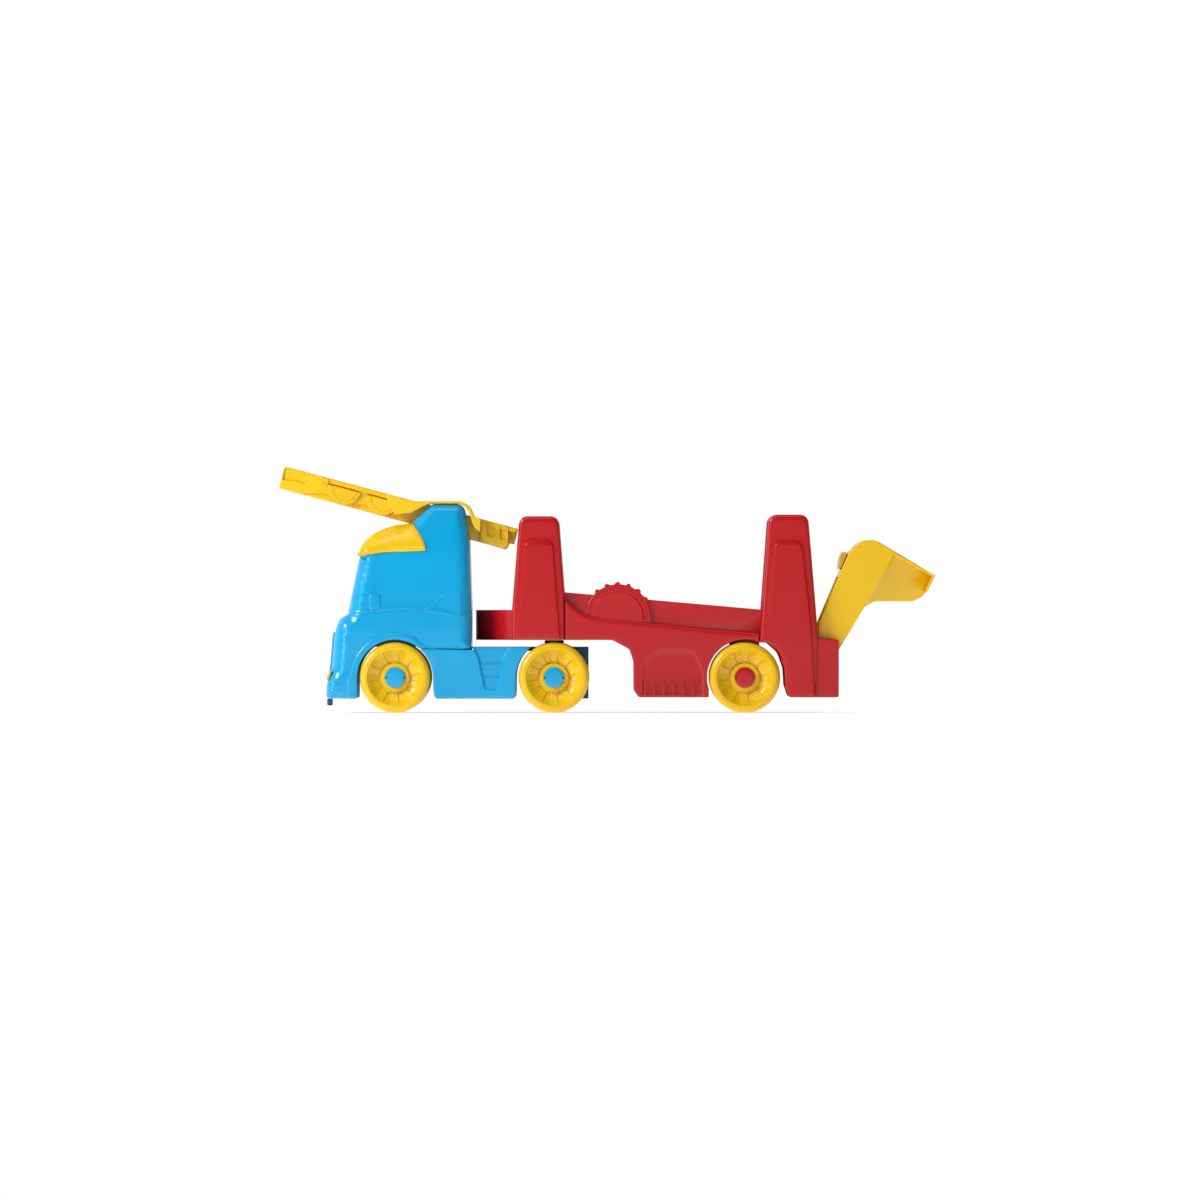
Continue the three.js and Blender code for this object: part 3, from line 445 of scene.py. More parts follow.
def wheel_wedge():
    """One tenth of a wheel's front and back, with its raised panel in the middle of the wedge."""
    tread = arc((tyre_radius - tread_round, wheel_width - tread_centre), tread_round, 78, 0, 7)
    section = [(bore, wheel_width - 6.5), (bore, wheel_width - 5.0), (bore + 0.5, wheel_width - 4.5),
               (hub_ring - 0.4, wheel_width - 4.5), (hub_ring, wheel_width - 5.0),
               (hub_ring + 0.15, wheel_width - 6.9), (hub_foot, wheel_width - 7.1),
               (hub_foot + 0.4, wheel_width - 7.0), (14.2, wheel_width - 6.4),
               (step_radius - 0.5, wheel_width - 5.4), (step_radius, wheel_width - 5.0),
               (step_radius + 0.5, wheel_width - 4.6), (18.6, wheel_width - 3.4),
               (19.8, wheel_width - 2.2), (rim_inner, wheel_width - 1.0),
               (rim_inner + 0.5, wheel_width - 0.3)]
    section += tread
    section += [(tyre_radius, 2.2), (tyre_radius - 0.7, 0.6), (tyre_radius - 1.6, 0.1), (23.4, 0.2),
                (23.0, 0.8), (23.0, 10.6), (22.4, 11.0), (hub_ring, 11.0), (hub_ring, 1.8), (bore, 1.8)]
    half = math.pi / panels
    share = [-1.0, -0.75, -0.56, -0.5, -0.44, -0.25, 0.0, 0.25, 0.44, 0.5, 0.56, 0.75, 1.0]
    points = []
    for s in share:
        lifted = abs(s) < 0.5
        edge = 0.5 if abs(abs(s) - 0.5) < 0.01 else float(lifted)
        for r, h in section:
            on_face = h > wheel_width - face_depth and hub_foot + 0.3 < r < rim_inner - 0.5
            rise = panel_rise * edge if on_face else 0.0
            fade = min(1.0, (rim_inner - r) / face_fade) if on_face else 0.0
            turn = s * half
            points.append((r * math.sin(turn), h + rise * fade, r * math.cos(turn)))
    rows = len(section)
    faces = []
    for k in range(len(share) - 1):
        for i in range(rows):
            j = (i + 1) % rows
            faces.append((k * rows + i, (k + 1) * rows + i, (k + 1) * rows + j, k * rows + j))
    return mesh_from(points, faces)


def mirrored(mesh):
    """The mesh on the other side of the lorry."""
    twin = mesh.copy()
    twin.transform(Matrix.Scale(-1, 4, (0, 1, 0)))
    twin.flip_normals()
    return twin


# Dark notches stand at the foot of the hub ring, one at each sunk panel.
notch = cuboid((-0.5, wheel_width - 8.2, hub_foot - 0.9), (0.5, wheel_width - 6.6, hub_foot + 0.3))
wedge = wheel_wedge()
for node in [n for n in frame["nodes"] if n.startswith("wheel_")]:
    low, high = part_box(node)
    right = low[1] > 0
    axle = [(a + b) / 2 / MM for a, b in zip(low, high)]
    inner_face = min(abs(low[1]), abs(high[1])) / MM
    wheel = repeated(wedge.copy(), panels, finishes["yellow_plastic"], turn=360 / panels,
                     place=(axle[0], inner_face, axle[2]), weld=0.01)
    notches = repeated(notch.copy(), panels, finishes["yellow_plastic"], turn=360 / panels,
                       first=180 / panels, place=(axle[0], inner_face, axle[2]))
    wheel = cut(wheel, notches)
    if not right:
        wheel = mirrored(wheel)
    show(f"{node}_moulding", wheel, "yellow_plastic", bodies[node], [node], 28.0)

# ------------------------------------------------------------------ hub stubs
# The wheels turn on split stubs of the body's own plastic. A stub's round head snaps out in
# front of the wheel's web, and its slots let the halves spring together as a wheel goes on.
finishes["cyan_plastic"] = moulded_plastic("Glossy moulded ABS, sky blue", "05a0d6", "0398cc", 0.22)
finishes["red_plastic"] = moulded_plastic("Glossy moulded ABS, signal red", "b4020c", "ae020b", 0.25)
split_width = 1.5
split_start = 6.2
split_reach = 12

for node in [n for n in frame["nodes"] if n.startswith("hub_stub_")]:
    low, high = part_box(node)
    middle = [(a + b) / 2 / MM for a, b in zip(low, high)]
    base = min(abs(low[1]), abs(high[1])) / MM
    head = max(abs(low[1]), abs(high[1])) / MM
    section = [(0, base), (10.4, base), (10.65, base + 0.4), (10.65, base + 2.5), (6.9, base + 2.9),
               (6.9, head - 2.0), (7.65, head - 1.9), (7.65, head - 0.8), (7.3, head - 0.25),
               (6.6, head - 0.02), (3.5, head), (0, head)]
    stub = lathe(section, (middle[0], 0, middle[2]), "Y", 64)
    for side in (-1, 1):
        near, far = sorted((middle[0] + side * split_start, middle[0] + side * split_reach))
        stub = cut(stub, cuboid((near, head - split_reach, middle[2] - split_width / 2),
                                (far, head + 1, middle[2] + split_width / 2)))
    if low[1] < 0:
        stub = mirrored(stub)
    show(f"{node}_turned", stub, slots[node], bodies[node], [node])

# ------------------------------------------------------------------ cab shell
# One blue ABS moulding with rounded shoulders: hood, doors and the column whose two side walls
# take the loading chute between them. It is hollow and open below, and clips over the chassis.
# It is built as a side outline whose outer face bulges, and then mirrored on the middle plane.
wall = 2.5
cab_low, cab_high = ([c / MM for c in corner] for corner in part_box("cab_shell"))
cab_front, cab_back, cab_top = cab_low[0] - 0.2, cab_high[0], cab_high[2]
axle_front = sum(c[0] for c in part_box("wheel_front_left")) / 2 / MM
axle_rear = sum(c[0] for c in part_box("wheel_rear_left")) / 2 / MM
axle_trailer = sum(c[0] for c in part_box("wheel_trailer_left")) / 2 / MM
arch_gap = 1.9
arch_radius = tyre_radius + arch_gap
sill = 48.5
underside = cab_low[2]


def rounded(corners, step=8.0):
    """Anticlockwise corners (x, z, radius) in mm as points, with an arc at each round corner."""
    points = []
    for i, corner in enumerate(corners):
        here = np.array(corner[:2], float)
        back = np.array(corners[i - 1][:2]) - here
        ahead = np.array(corners[(i + 1) % len(corners)][:2]) - here
        room = 0.49 * min(np.linalg.norm(back), np.linalg.norm(ahead))
        back, ahead = back / np.linalg.norm(back), ahead / np.linalg.norm(ahead)
        half = math.acos(max(-1, min(1, float(back @ ahead)))) / 2
        radius = min(corner[2] if len(corner) > 2 else 0, room * math.tan(half))
        if radius < 0.05 or half > math.pi / 2 - 0.02:
            points.append(tuple(here))
            continue
        middle = (back + ahead) / np.linalg.norm(back + ahead) * radius / math.sin(half) + here
        start = back * radius / math.tan(half) + here - middle
        end = ahead * radius / math.tan(half) + here - middle
        sweep = math.atan2(start[0] * end[1] - start[1] * end[0], float(start @ end))
        steps = max(2, math.ceil(abs(math.degrees(sweep)) / step))
        for k in range(steps + 1):
            c, s = math.cos(sweep * k / steps), math.sin(sweep * k / steps)
            points.append((middle[0] + c * start[0] - s * start[1], middle[1] + s * start[0] + c * start[1]))
    return points


def evenly(points, spacing, closed=True):
    """The line through points with its long stretches divided; its own points are kept."""
    line = [np.array(p, float) for p in points]
    ends = line[1:] + line[:1] if closed else line[1:]
    result = []
    for a, b in zip(line, ends):
        steps = max(1, round(float(np.linalg.norm(b - a)) / spacing))
        result += [a + (b - a) * k / steps for k in range(steps)]
    return np.array(result if closed else result + [line[-1]])


def distance(points, line, closed=True):
    """Distance from each point to a line, and the number of the line's nearest stretch."""
    start = line
    end = np.roll(line, -1, axis=0)
    if not closed:
        start, end = line[:-1], line[1:]
    along = end - start
    length = np.maximum((along ** 2).sum(1), 1e-12)
    best = np.full(len(points), 1e9)
    which = np.zeros(len(points), int)
    for first in range(0, len(points), 4000):
        p = points[first:first + 4000, None]
        t = np.clip(((p - start) * along).sum(2) / length, 0, 1)
        gap = np.linalg.norm(p - start - t[..., None] * along, axis=2)
        which[first:first + 4000] = gap.argmin(1)
        best[first:first + 4000] = gap.min(1)
    return best, which


def within(points, outline):
    """Whether each point lies inside an outline."""
    x, z = points[:, 0, None], points[:, 1, None]
    x0, z0 = outline[:, 0], outline[:, 1]
    x1, z1 = np.roll(x0, -1), np.roll(z0, -1)
    rise = np.where(np.abs(z1 - z0) < 1e-12, 1e-12, z1 - z0)
    crossing = ((z0 > z) != (z1 > z)) & (x < (x1 - x0) * (z - z0) / rise + x0)
    return crossing.sum(1) % 2 == 1


def eased_step(value):
    """0 below -1, 1 above 1, smooth between."""
    t = np.clip((value + 1) / 2, 0, 1)
    return t * t * (3 - 2 * t)


def relief_of(points, features):
    """Height of the moulded relief: raised or sunk areas, and ribs or grooves along a line."""
    height = np.zeros(len(points))
    for kind, line, amount, soft in features:
        if kind == "area":
            gap, _ = distance(points, line)
            side = np.where(within(points, line), gap, -gap)
            height += amount * eased_step(side / soft)
        else:
            gap, _ = distance(points, line, False)
            height += amount * (1 - eased_step(2 * gap / soft - 1))
    return height


def area(corners, amount, soft=0.5):
    """A raised or sunk area for relief_of, by its outline."""
    return "area", evenly(rounded(corners), 1.0), amount, soft


def line_mark(points, amount, soft=0.6):
    """A rib or groove for relief_of, along an open line."""
    return "line", evenly(points, 1.0, False), amount, soft


def feature_rows(features):
    """Points on both sides of each relief's edge, so that its slope is crisp."""
    rows = []
    for kind, line, _, soft in features:
        closed = kind == "area"
        after = np.roll(line, -1, axis=0) if closed else np.vstack([line[1:], 2 * line[-1] - line[-2]])
        before = np.roll(line, 1, axis=0) if closed else np.vstack([2 * line[0] - line[1], line[:-1]])
        along = after - before
        normal = np.stack([-along[:, 1], along[:, 0]], 1)
        normal /= np.maximum(np.linalg.norm(normal, axis=1), 1e-9)[:, None]
        for share in (-1.0, -0.35, 0.35, 1.0):
            rows.append(line + normal * soft * share)
    return np.vstack(rows) if rows else np.zeros((0, 2))


def thinned(points, keep_from, least):
    """Points that stay at least a distance from those kept before them."""
    taken = [tuple(p) for p in keep_from]
    cells = {}
    for p in taken:
        cells.setdefault((int(p[0] // least), int(p[1] // least)), []).append(p)
    kept = []
    for p in points:
        cx, cz = int(p[0] // least), int(p[1] // least)
        near = [q for i in (-1, 0, 1) for j in (-1, 0, 1) for q in cells.get((cx + i, cz + j), ())]
        if all((p[0] - q[0]) ** 2 + (p[1] - q[1]) ** 2 > least * least for q in near):
            kept.append(p)
            cells.setdefault((cx, cz), []).append(tuple(p))
    return np.array(kept).reshape(-1, 2)


outline_pitch = 1.8
ring_turns = (22.5, 45, 67.5, 90)
ring_fit = 0.94  # a ring's point nearer than this to another stretch of the outline is left out
least_bend = 0.06
ring_gap = 0.05
row_gap = 0.2
row_margin = 0.15
grid_rise = 0.87  # rows of even triangles
grid_margin = 0.5
grid_share = 0.62


def side_moulding(corners, outer, inner, edge, features=(), spacing=2.6, back_edge=None):
    """A moulding known by its side outline. outer and inner give the distance of its two faces from
    the middle plane at each point, edge the radius of its outer rim (and back_edge of its inner),
    features the relief on its outer face and spacing the width of its triangles."""
    outline = evenly(rounded(corners), outline_pitch)
    radius = np.array([edge(p) for p in outline]) if callable(edge) else np.full(len(outline), float(edge))
    for _ in range(4):
        radius = (np.roll(radius, 1) + radius + np.roll(radius, -1)) / 3
    along = np.roll(outline, -1, axis=0) - np.roll(outline, 1, axis=0)
    inward = np.stack([-along[:, 1], along[:, 0]], 1)
    inward /= np.linalg.norm(inward, axis=1)[:, None]
    # Rings of points inside the outline carry the rounding of the rim.
    rings = []
    for turn in ring_turns:
        depth = radius * (1 - math.cos(math.radians(turn)))
        ring = outline + inward * depth[:, None]
        gap, _ = distance(ring, outline)
        rings.append(ring[(gap > depth * ring_fit) & (depth > least_bend)])
    rings = np.vstack(rings)
    # Rows of points follow the relief, and a loose grid fills the rest.
    rows = feature_rows(features)
    if len(rows):
        gap, _ = distance(rows, outline)
        rows = rows[within(rows, outline) & (gap > row_margin)]
    low, high = outline.min(0), outline.max(0)
    across = np.arange(low[0] + spacing / 2, high[0], spacing)
    upward = np.arange(low[1] + spacing / 2, high[1], spacing * grid_rise)
    grid = np.array([(x + (k % 2) * spacing / 2, z) for k, z in enumerate(upward) for x in across])
    gap, _ = distance(grid, outline)
    grid = grid[within(grid, outline) & (gap > grid_margin * spacing)]
    rings = rings[within(rings, outline)] if len(rings) else rings
    rings = thinned(rings, outline, ring_gap)
    rows = thinned(rows, np.vstack([outline, rings]), row_gap)
    grid = thinned(grid, np.vstack([outline, rings, rows]), grid_share * spacing)
    # The plan is triangulated once, for both faces.
    flat = [Vector(p) for p in np.vstack([outline, rings, rows, grid])]
    ties = [(k, (k + 1) % len(outline)) for k in range(len(outline))]
    verts, _, faces, *_ = delaunay_2d_cdt(flat, ties, [], 1, 1e-6)
    plan = np.array([tuple(v) for v in verts])
    gap, which = distance(plan, outline)
    ring_radius = radius[which]
    bend = np.clip(ring_radius - gap, 0, None)
    drop = ring_radius - np.sqrt(np.maximum(ring_radius ** 2 - bend ** 2, 0))
    front = outer(plan) - drop + relief_of(plan, features)
    back = inner(plan)
    if back_edge:
        bend = np.clip(back_edge - gap, 0, None)
        back = back + back_edge - np.sqrt(np.maximum(back_edge ** 2 - bend ** 2, 0))
    # A wall of squares joins the two faces round their outline.
    count = len(plan)
    points = [(x, y, z) for (x, z), y in zip(plan, front)] + [(x, y, z) for (x, z), y in zip(plan, back)]
    shell = [tuple(f) for f in faces] + [tuple(count + i for i in reversed(f)) for f in faces]
    sides = dict.fromkeys(side for f in faces for side in zip(f, f[1:] + f[:1]))
    shell += [(b, a, count + a, count + b) for a, b in sides if (b, a) not in sides]
    return mesh_from(points, shell)


def level(value):
    """A face at one distance from the middle plane."""
    return lambda plan: np.full(len(plan), float(value))


def slab(corners, y0, y1):
    """A side outline with straight sides from y0 to y1, as a cutter."""
    points = rounded(corners)
    count = len(points)
    shell = [(x, y0, z) for x, z in points] + [(x, y1, z) for x, z in points]
    faces = [tuple(range(count)), tuple(reversed(range(count, 2 * count)))]
    faces += [(k, (k + 1) % count, count + (k + 1) % count, count + k) for k in range(count)]
    return mesh_from(shell, faces)


cab_arch = arc((axle_front, tyre_radius), arch_radius, 180, 50.8, 18)
cab_corners = [
    (cab_front, underside, 2.5), (cab_front + 23.7, underside, 1.6), *cab_arch,
    (cab_back - 36, sill, 5), (cab_back, sill - 0.6, 1.2), (cab_back + 0.1, 76),
    (cab_back - 1.5, cab_top - 27.1, 20), (cab_back - 4.1, cab_top - 10, 10),
    (cab_back - 6.6, cab_top, 6.5), (cab_back - 29.2, cab_top, 4.5), (cab_back - 44.3, cab_top - 13.6, 2),
    (cab_back - 46.4, cab_top - 17.2, 3), (cab_front + 39, cab_top - 24.4, 14),
    (cab_front + 26.8, cab_top - 35.8, 6), (cab_front + 24.5, cab_top - 42.9, 8),
    (cab_front + 16.4, 74.0, 2), (cab_front + 10.2, 70.4, 6), (cab_front + 7.4, 63, 6),
    (cab_front + 6.4, 56, 10), (cab_front + 4.4, 33, 12), (cab_front + 1.0, 23, 6),
]
body_half = cab_high[1]
cab_lean = ((0, 1.9), (62, 1.9), (92, 2.9), (121, 4.9), (140, 8.4), (cab_top, 12.6))


def cab_face(plan):
    """Half width of the cab: upright below the shoulder, then leaning in towards the column's top,
    by how far it is set back at each height."""
    heights, set_back = zip(*cab_lean)
    return np.interp(plan[:, 1], heights, [body_half - s for s in set_back])


def cab_edge(p):
    """Radius of the cab's outer rim: full at the nose and up the column, small along the sill."""
    x, z = p
    if z > cab_top - 6:
        return 5.0
    if x > cab_back - 6:
        return 9.0 if z > 52 else 4.0
    if z > 118:
        return 6.0
    if x < cab_front + 50 and z > 77:
        return 12.0
    if x < cab_front + 22 and z > 30:
        return 12.0
    if x < cab_front + 12:
        return 7.0
    return 1.1


lip_radius = 32.8
lip_top = arc((axle_front, tyre_radius), lip_radius, 62, 170, 18)
fender_lip = area([(axle_front - 35.3, 0, 0), (cab_back + 5, 0, 0), (cab_back + 5, sill - 0.2, 0),
                   (cab_back - 30, sill + 0.2, 6), (cab_back - 37.5, sill + 2.2, 6), *lip_top,
                   (axle_front - 34.6, 26.5, 0), (axle_front - 35.1, 24.5, 0)], 0.8, 0.6)
lower_body = area([(cab_front - 20, -10, 0), (cab_back + 20, -10, 0), (cab_back + 20, 71.6, 0),
                   (cab_back - 7.3, 72.7, 6), (cab_back - 34, 77.4, 20), (axle_front + 2, 78.4, 30),
                   (axle_front - 21, 76.0, 20), (cab_front + 17, 74.2, 0), (cab_front - 20, 73, 0)], 1.1, 0.7)
door_panel = area([(cab_back - 36, 76.6, 1), (cab_back - 19.4, 90.2, 2), (cab_back - 8.4, 90.2, 2),
                   (cab_back - 7.4, 72.6, 1)][::-1], 0.55, 0.35)
mirror_pad = area([(axle_front - 18.9, 77.6, 2), (axle_front - 11.2, 77.6, 2),
                   (axle_front - 11.2, 89, 2.4), (axle_front - 18.9, 89, 2.4)], 0.8, 0.5)
screen_line = line_mark([(cab_front + 25.6, 120), (cab_front + 24.9, 113.2), (cab_front + 24.3, 102.7),
                         (cab_front + 19.8, 74.2)], -0.6, 0.8)
bumper_line = line_mark([(cab_front - 2, 24.7), (cab_front + 16.6, 24.7)], -0.5, 0.8)
bumper_roll = line_mark([(cab_front + 1, 17.6), (cab_front + 10, 17.6)], -0.35, 0.8)

cab = side_moulding(
    cab_corners, cab_face, level(0), cab_edge,
    [lower_body, fender_lip, door_panel, mirror_pad, screen_line, bumper_line, bumper_roll])


def whole(half_mesh):
    """Both halves of a moulding that meets its mirror image on the middle plane."""
    work = bmesh.new()
    work.from_mesh(half_mesh)
    flat = [f for f in work.faces if all(abs(v.co.y) < 1e-7 for v in f.verts)]
    bmesh.ops.delete(work, geom=flat, context="FACES")
    twin = bmesh.ops.duplicate(work, geom=work.verts[:] + work.edges[:] + work.faces[:])
    moved = [g for g in twin["geom"] if isinstance(g, bmesh.types.BMVert)]
    for vertex in moved:
        vertex.co.y = -vertex.co.y
    bmesh.ops.reverse_faces(work, faces=[g for g in twin["geom"] if isinstance(g, bmesh.types.BMFace)])
    bmesh.ops.remove_doubles(work, verts=work.verts, dist=0.005 * MM)
    bmesh.ops.recalc_face_normals(work, faces=work.faces)
    result = bpy.data.meshes.new("whole")
    work.to_mesh(result)
    work.free()
    return result


cab = whole(cab)
inside = body_half - wall - 1.5
arch_wall = (38, 39.6)
visor_notch = 44.3
cab = cut(cab, slab([(cab_front + 15, underside - 5, 0), (axle_front, underside - 5, 0),
                     (axle_front, sill - 4, 0), (cab_back - wall, sill - 4, 0), (cab_back - wall, 70, 0),
                     (cab_front + 24, 70, 3), (cab_front + 18, 58, 0)], -inside, inside))
# Walls inside each wheel arch close the house over the front wheel.
house_half, house_foot, house_top = 31, 49.6, 62
house = slab([(axle_front - house_half, house_foot), (axle_front + house_half, house_foot),
              (axle_front + house_half, house_top), (axle_front - house_half, house_top)], *arch_wall)
upper_inside = body_half - wall - 8
cab = cut(cab, slab([(cab_front + 20, 69, 0), (cab_back - wall, 69, 0), (cab_back - wall - 4, 130, 3),
                     (cab_front + 40, 128, 3), (cab_front + 28, 112, 3)], -upper_inside, upper_inside))

chute_tilt = math.radians(15)
chute_tail_height = 138.3
chute_tail = (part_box("top_chute")[1][0] / MM, chute_tail_height)
chute_half = 30.0
chute_depth = 17.2
chute_gap = 0.3


def on_chute(forward, height):
    """A point by its distance forward of the chute's tail and its height over the top edge."""
    return (chute_tail[0] - forward * math.cos(chute_tilt) + height * math.sin(chute_tilt),
            chute_tail[1] + forward * math.sin(chute_tilt) + height * math.cos(chute_tilt))


slot_cut = slab([(*on_chute(-30, -chute_depth - 0.4), 0), (*on_chute(-30, 40), 0),
                 (*on_chute(150, 40), 0), (*on_chute(150, -chute_depth - 0.4), 0)][::-1],
                -chute_half - chute_gap, chute_half + chute_gap)
cab = cut(cab, slot_cut)
for side in (1, -1):
    cab = cut(cab, slab([(cab_front + 14, 117.6, 0), (cab_back - 34.6, 122.4, 0), (cab_back - 42.4, 141.6, 0),
                         (cab_back - 60, 150, 0), (cab_front + 20, 140, 0)],
                        *sorted((side * visor_notch, side * beyond))))
cab = joined(cab, house, mirrored(house))
show("cab_shell_moulding", cab, "cyan_plastic", "tractor", ["cab_shell"])

# ------------------------------------------------------------------ sun visor
# A yellow hood moulding that clips over the windscreen's top and the roof. Its brow is full
# and glossy, its lower edge turns under, and a step runs along its side.
visor_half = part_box("sun_visor")[1][1] / MM
visor_inside = 44.6
visor_corners = [
    (cab_front + 22.9, 116.7, 1.2), (cab_front + 31.5, 118.6, 10), (cab_front + 43, 120.3, 10),
    (cab_back - 34.2, 121.5, 1.2), (cab_back - 34.6, 125.9, 8), (cab_back - 37.8, 133.4, 8),
    (cab_back - 42.4, 141.0, 1.6), (cab_back - 45.9, 142.2, 3), (cab_front + 52, 140.8, 14),
    (cab_front + 43.5, 138.2, 14), (cab_front + 35, 134.2, 12), (cab_front + 27.6, 127, 10),
]


def visor_face(plan):
    """Half width of the visor, leaning in with the cab."""
    return np.interp(plan[:, 1], [116, 126, 142], [visor_half, visor_half - 1.2, visor_half - 7.5])


def visor_edge(p):
    """Radius of the visor's rim: thin along its foot and its back, full over the brow."""
    return 1.3 if p[1] < 122.5 else 9.0 if p[0] < cab_back - 44 else 2.0


visor_step = area([(cab_front + 30, 100, 0), (cab_back - 20, 100, 0), (cab_back - 20, 124.6, 0),
                   (cab_back - 40, 124.4, 12), (cab_front + 46, 123.2, 12), (cab_front + 30, 119.6, 3)],
                  -0.9, 0.7)
visor = whole(side_moulding(visor_corners, visor_face, level(0), visor_edge, [visor_step], 2.2))
visor = cut(visor, slab([(cab_front + 18, 105, 0), (cab_back - 30, 105, 0), (cab_back - 30, 136, 0),
                         (cab_back - 45.4, 139.9, 3), (cab_front + 44, 135.6, 14), (cab_front + 36, 131.0, 8),
                         (cab_front + 27.8, 121.4, 4)], -visor_inside, visor_inside))
visor = cut(visor, slot_cut)
show("sun_visor_moulding", visor, "yellow_plastic", "tractor", ["sun_visor"])

# ------------------------------------------------------------------ grille, headlamps
# The grille is a blue panel with five slots between its bars, and the headlamps are yellow lenses.
# They clip on to the cab's front face, just proud of it.
bars = 5
bar_pitch = 5.4
bar_lean = 0.42
bar_margin = 7


def on_front(z):
    """The cab's front face at a height, at its foremost."""
    set_back = np.interp(z, [22, 24, 33, 58.5, 63], [0.2, 1.2, 4.4, 6.4, 7.6])
    return cab_front + float(set_back)


def front_panel(z0, z1, y0, y1, proud, radius):
    """A plate that follows the cab's front face, with its outer edge rounded."""
    base = cuboid((0, y0, z0), (1, y1, z1))
    work = bmesh.new()
    work.from_mesh(base)
    bmesh.ops.subdivide_edges(work, edges=work.edges, cuts=6, use_grid_fill=True)
    for vertex in work.verts:
        share = vertex.co.x / MM
        face = on_front(vertex.co.z / MM)
        vertex.co.x = (face - proud if share < 0.5 else face + 0.6) * MM
    work.to_mesh(base)
    work.free()
    return eased(base, radius, 3, 40)


grille_low, grille_high = ([c / MM for c in corner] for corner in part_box("grille_panel"))
grille = front_panel(grille_low[2], 60.4, grille_low[1], grille_high[1], 1.5, 0.7)
bar = cuboid((cab_front - 2, grille_low[1] + bar_margin, grille_low[2] + 5.5),
             (cab_front + 4.6, grille_high[1] - bar_margin, grille_low[2] + 7.7))
bar_slots = repeated(bar, bars, finishes["cyan_plastic"], step=(bar_lean, 0, bar_pitch))
grille = cut(grille, bar_slots)
show("grille_panel_moulding", grille, "cyan_plastic", "tractor", ["grille_panel"])

for node in ("headlamp_left", "headlamp_right"):
    low, high = ([c / MM for c in corner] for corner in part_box(node))
    lamp = front_panel(low[2], high[2], low[1], high[1], 1.0, 0.8)
    show(f"{node}_lens", lamp, "yellow_plastic", "tractor", [node])

# ------------------------------------------------------------------ side fairings
# The blue fairings close the sides between the tractor's wheels. Each is one moulding with a
# sunk step well in its middle, whose two treads stand out as bright edges.
fairing_inner, fairing_half = (corner[1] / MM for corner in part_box("side_fairing_right"))
fairing_front = axle_front + arch_radius
fairing_end = axle_rear - arch_radius
front_arc = arc((axle_front, tyre_radius), arch_radius, 49.5, 0, 8)
rear_arc = arc((axle_rear, tyre_radius), arch_radius, 180, 126.5, 8)
fairing_corners = [
    *front_arc, (fairing_front + 0.4, 14, 6), (fairing_front + 2, underside, 2.6),
    (fairing_end - 0.4, underside, 2.6), (fairing_end - 0.1, 16, 4), *rear_arc,
    (cab_back + 1.2, 49.4, 1), (cab_back, sill - 1.2, 1),
]
step_well = area([(cab_back + 0.6, 60, 0), (cab_back + 2.4, 47.0, 5), (cab_back + 5.5, 41.2, 5),
                  (cab_back + 7.6, 29.2, 8), (cab_back + 10.2, 18.0, 1.2), (cab_back + 20, 17.2, 3),
                  (cab_back + 21.4, 27.4, 8), (cab_back + 23.6, 41, 5), (cab_back + 27.6, 47.4, 6),
                  (cab_back + 32, 60, 0)], -1.6, 0.8)
treads = [line_mark([(cab_back + 6.6 + lean, z), (cab_back + 22.4 - lean, z)], 0.9, 0.7)
          for z, lean in ((37.2, 0.4), (27.0, 1.6))]
fairing = side_moulding(fairing_corners, level(fairing_half), level(fairing_inner), 1.3,
                        [step_well, *treads], 2.4, 0.8)
fairing = cut(fairing, cuboid((fairing_front + 5, fairing_inner - 1, underside + wall),
                              (fairing_end - 5, fairing_half - wall - 1.6, sill - 5)))


def show_both(name, mesh, slot, body, node=None):
    """A piece on the right and its mirror image on the left; {} in a name stands for the side."""
    for side, half in (("right", mesh.copy()), ("left", mirrored(mesh))):
        show(name.format(side), half, slot, body, [node.format(side)] if node else ())


show_both("side_fairing_{}_moulding", fairing, "cyan_plastic", "tractor", "side_fairing_{}")

# ------------------------------------------------------------------ loading chute
# The chute is one yellow ABS moulding: a channel with a rail along each side, a sunk panel near
# its mouth, a saddle that grips the cab's column and an end block behind it.
chute_length = 181.6
wall_recess = 28.4
wall_inner = 26.0
rail_depth = 3.75


def top_line(x, drop=0.0):
    """Height of the chute's upper edge at x, less a drop."""
    return chute_tail[1] + (chute_tail[0] - x) * math.tan(chute_tilt) - drop


chute_corners = [
    (*on_chute(0, -12.2), 0.6), (*on_chute(0, 0), 0.6), (*on_chute(chute_length, 0), 1.2),
    (*on_chute(chute_length, -chute_depth), 1.2), (*on_chute(7, -chute_depth), 0.8),
    (*on_chute(7, -12.2), 0)]
rail = area([(*on_chute(-4, -rail_depth), 0), (*on_chute(-4, 3), 0), (*on_chute(chute_length - 27, 3), 0),
             (*on_chute(chute_length - 29, -rail_depth), 1)], 3.8, 0.4)
skin = area([(*on_chute(-6, -24), 0), (*on_chute(-6, 4), 0), (*on_chute(200, 4), 0), (*on_chute(200, -24), 0),
             (*on_chute(164, -24), 0), (-228, top_line(-228, 16.2), 3), (-214, top_line(-214, 12.8), 8),
             (-160, top_line(-160, 12.8), 0), (*on_chute(60, -24), 0)], 1.8, 0.5)
mouth_recess = area([
    (-243.8, 175.0, 1), (-234.0, 174.4, 4), (-228.0, 171.9, 4), (-222.9, 174.4, 4), (-219.4, 177.9, 0.5),
    (-220.4, top_line(-220.4, 1.2), 1), (-242.6, 183.8, 1)], -1.5, 0.45)
tab = area([(-216, 173.4, 1), (-209.4, 171.8, 1), (-208.6, 175.2, 1), (-215.2, 177.0, 1)], 1.2, 0.35)
chute_wall_mesh = side_moulding(chute_corners, level(wall_recess), level(wall_inner), 0.8,
                                [rail, skin, mouth_recess, tab], 2.2)
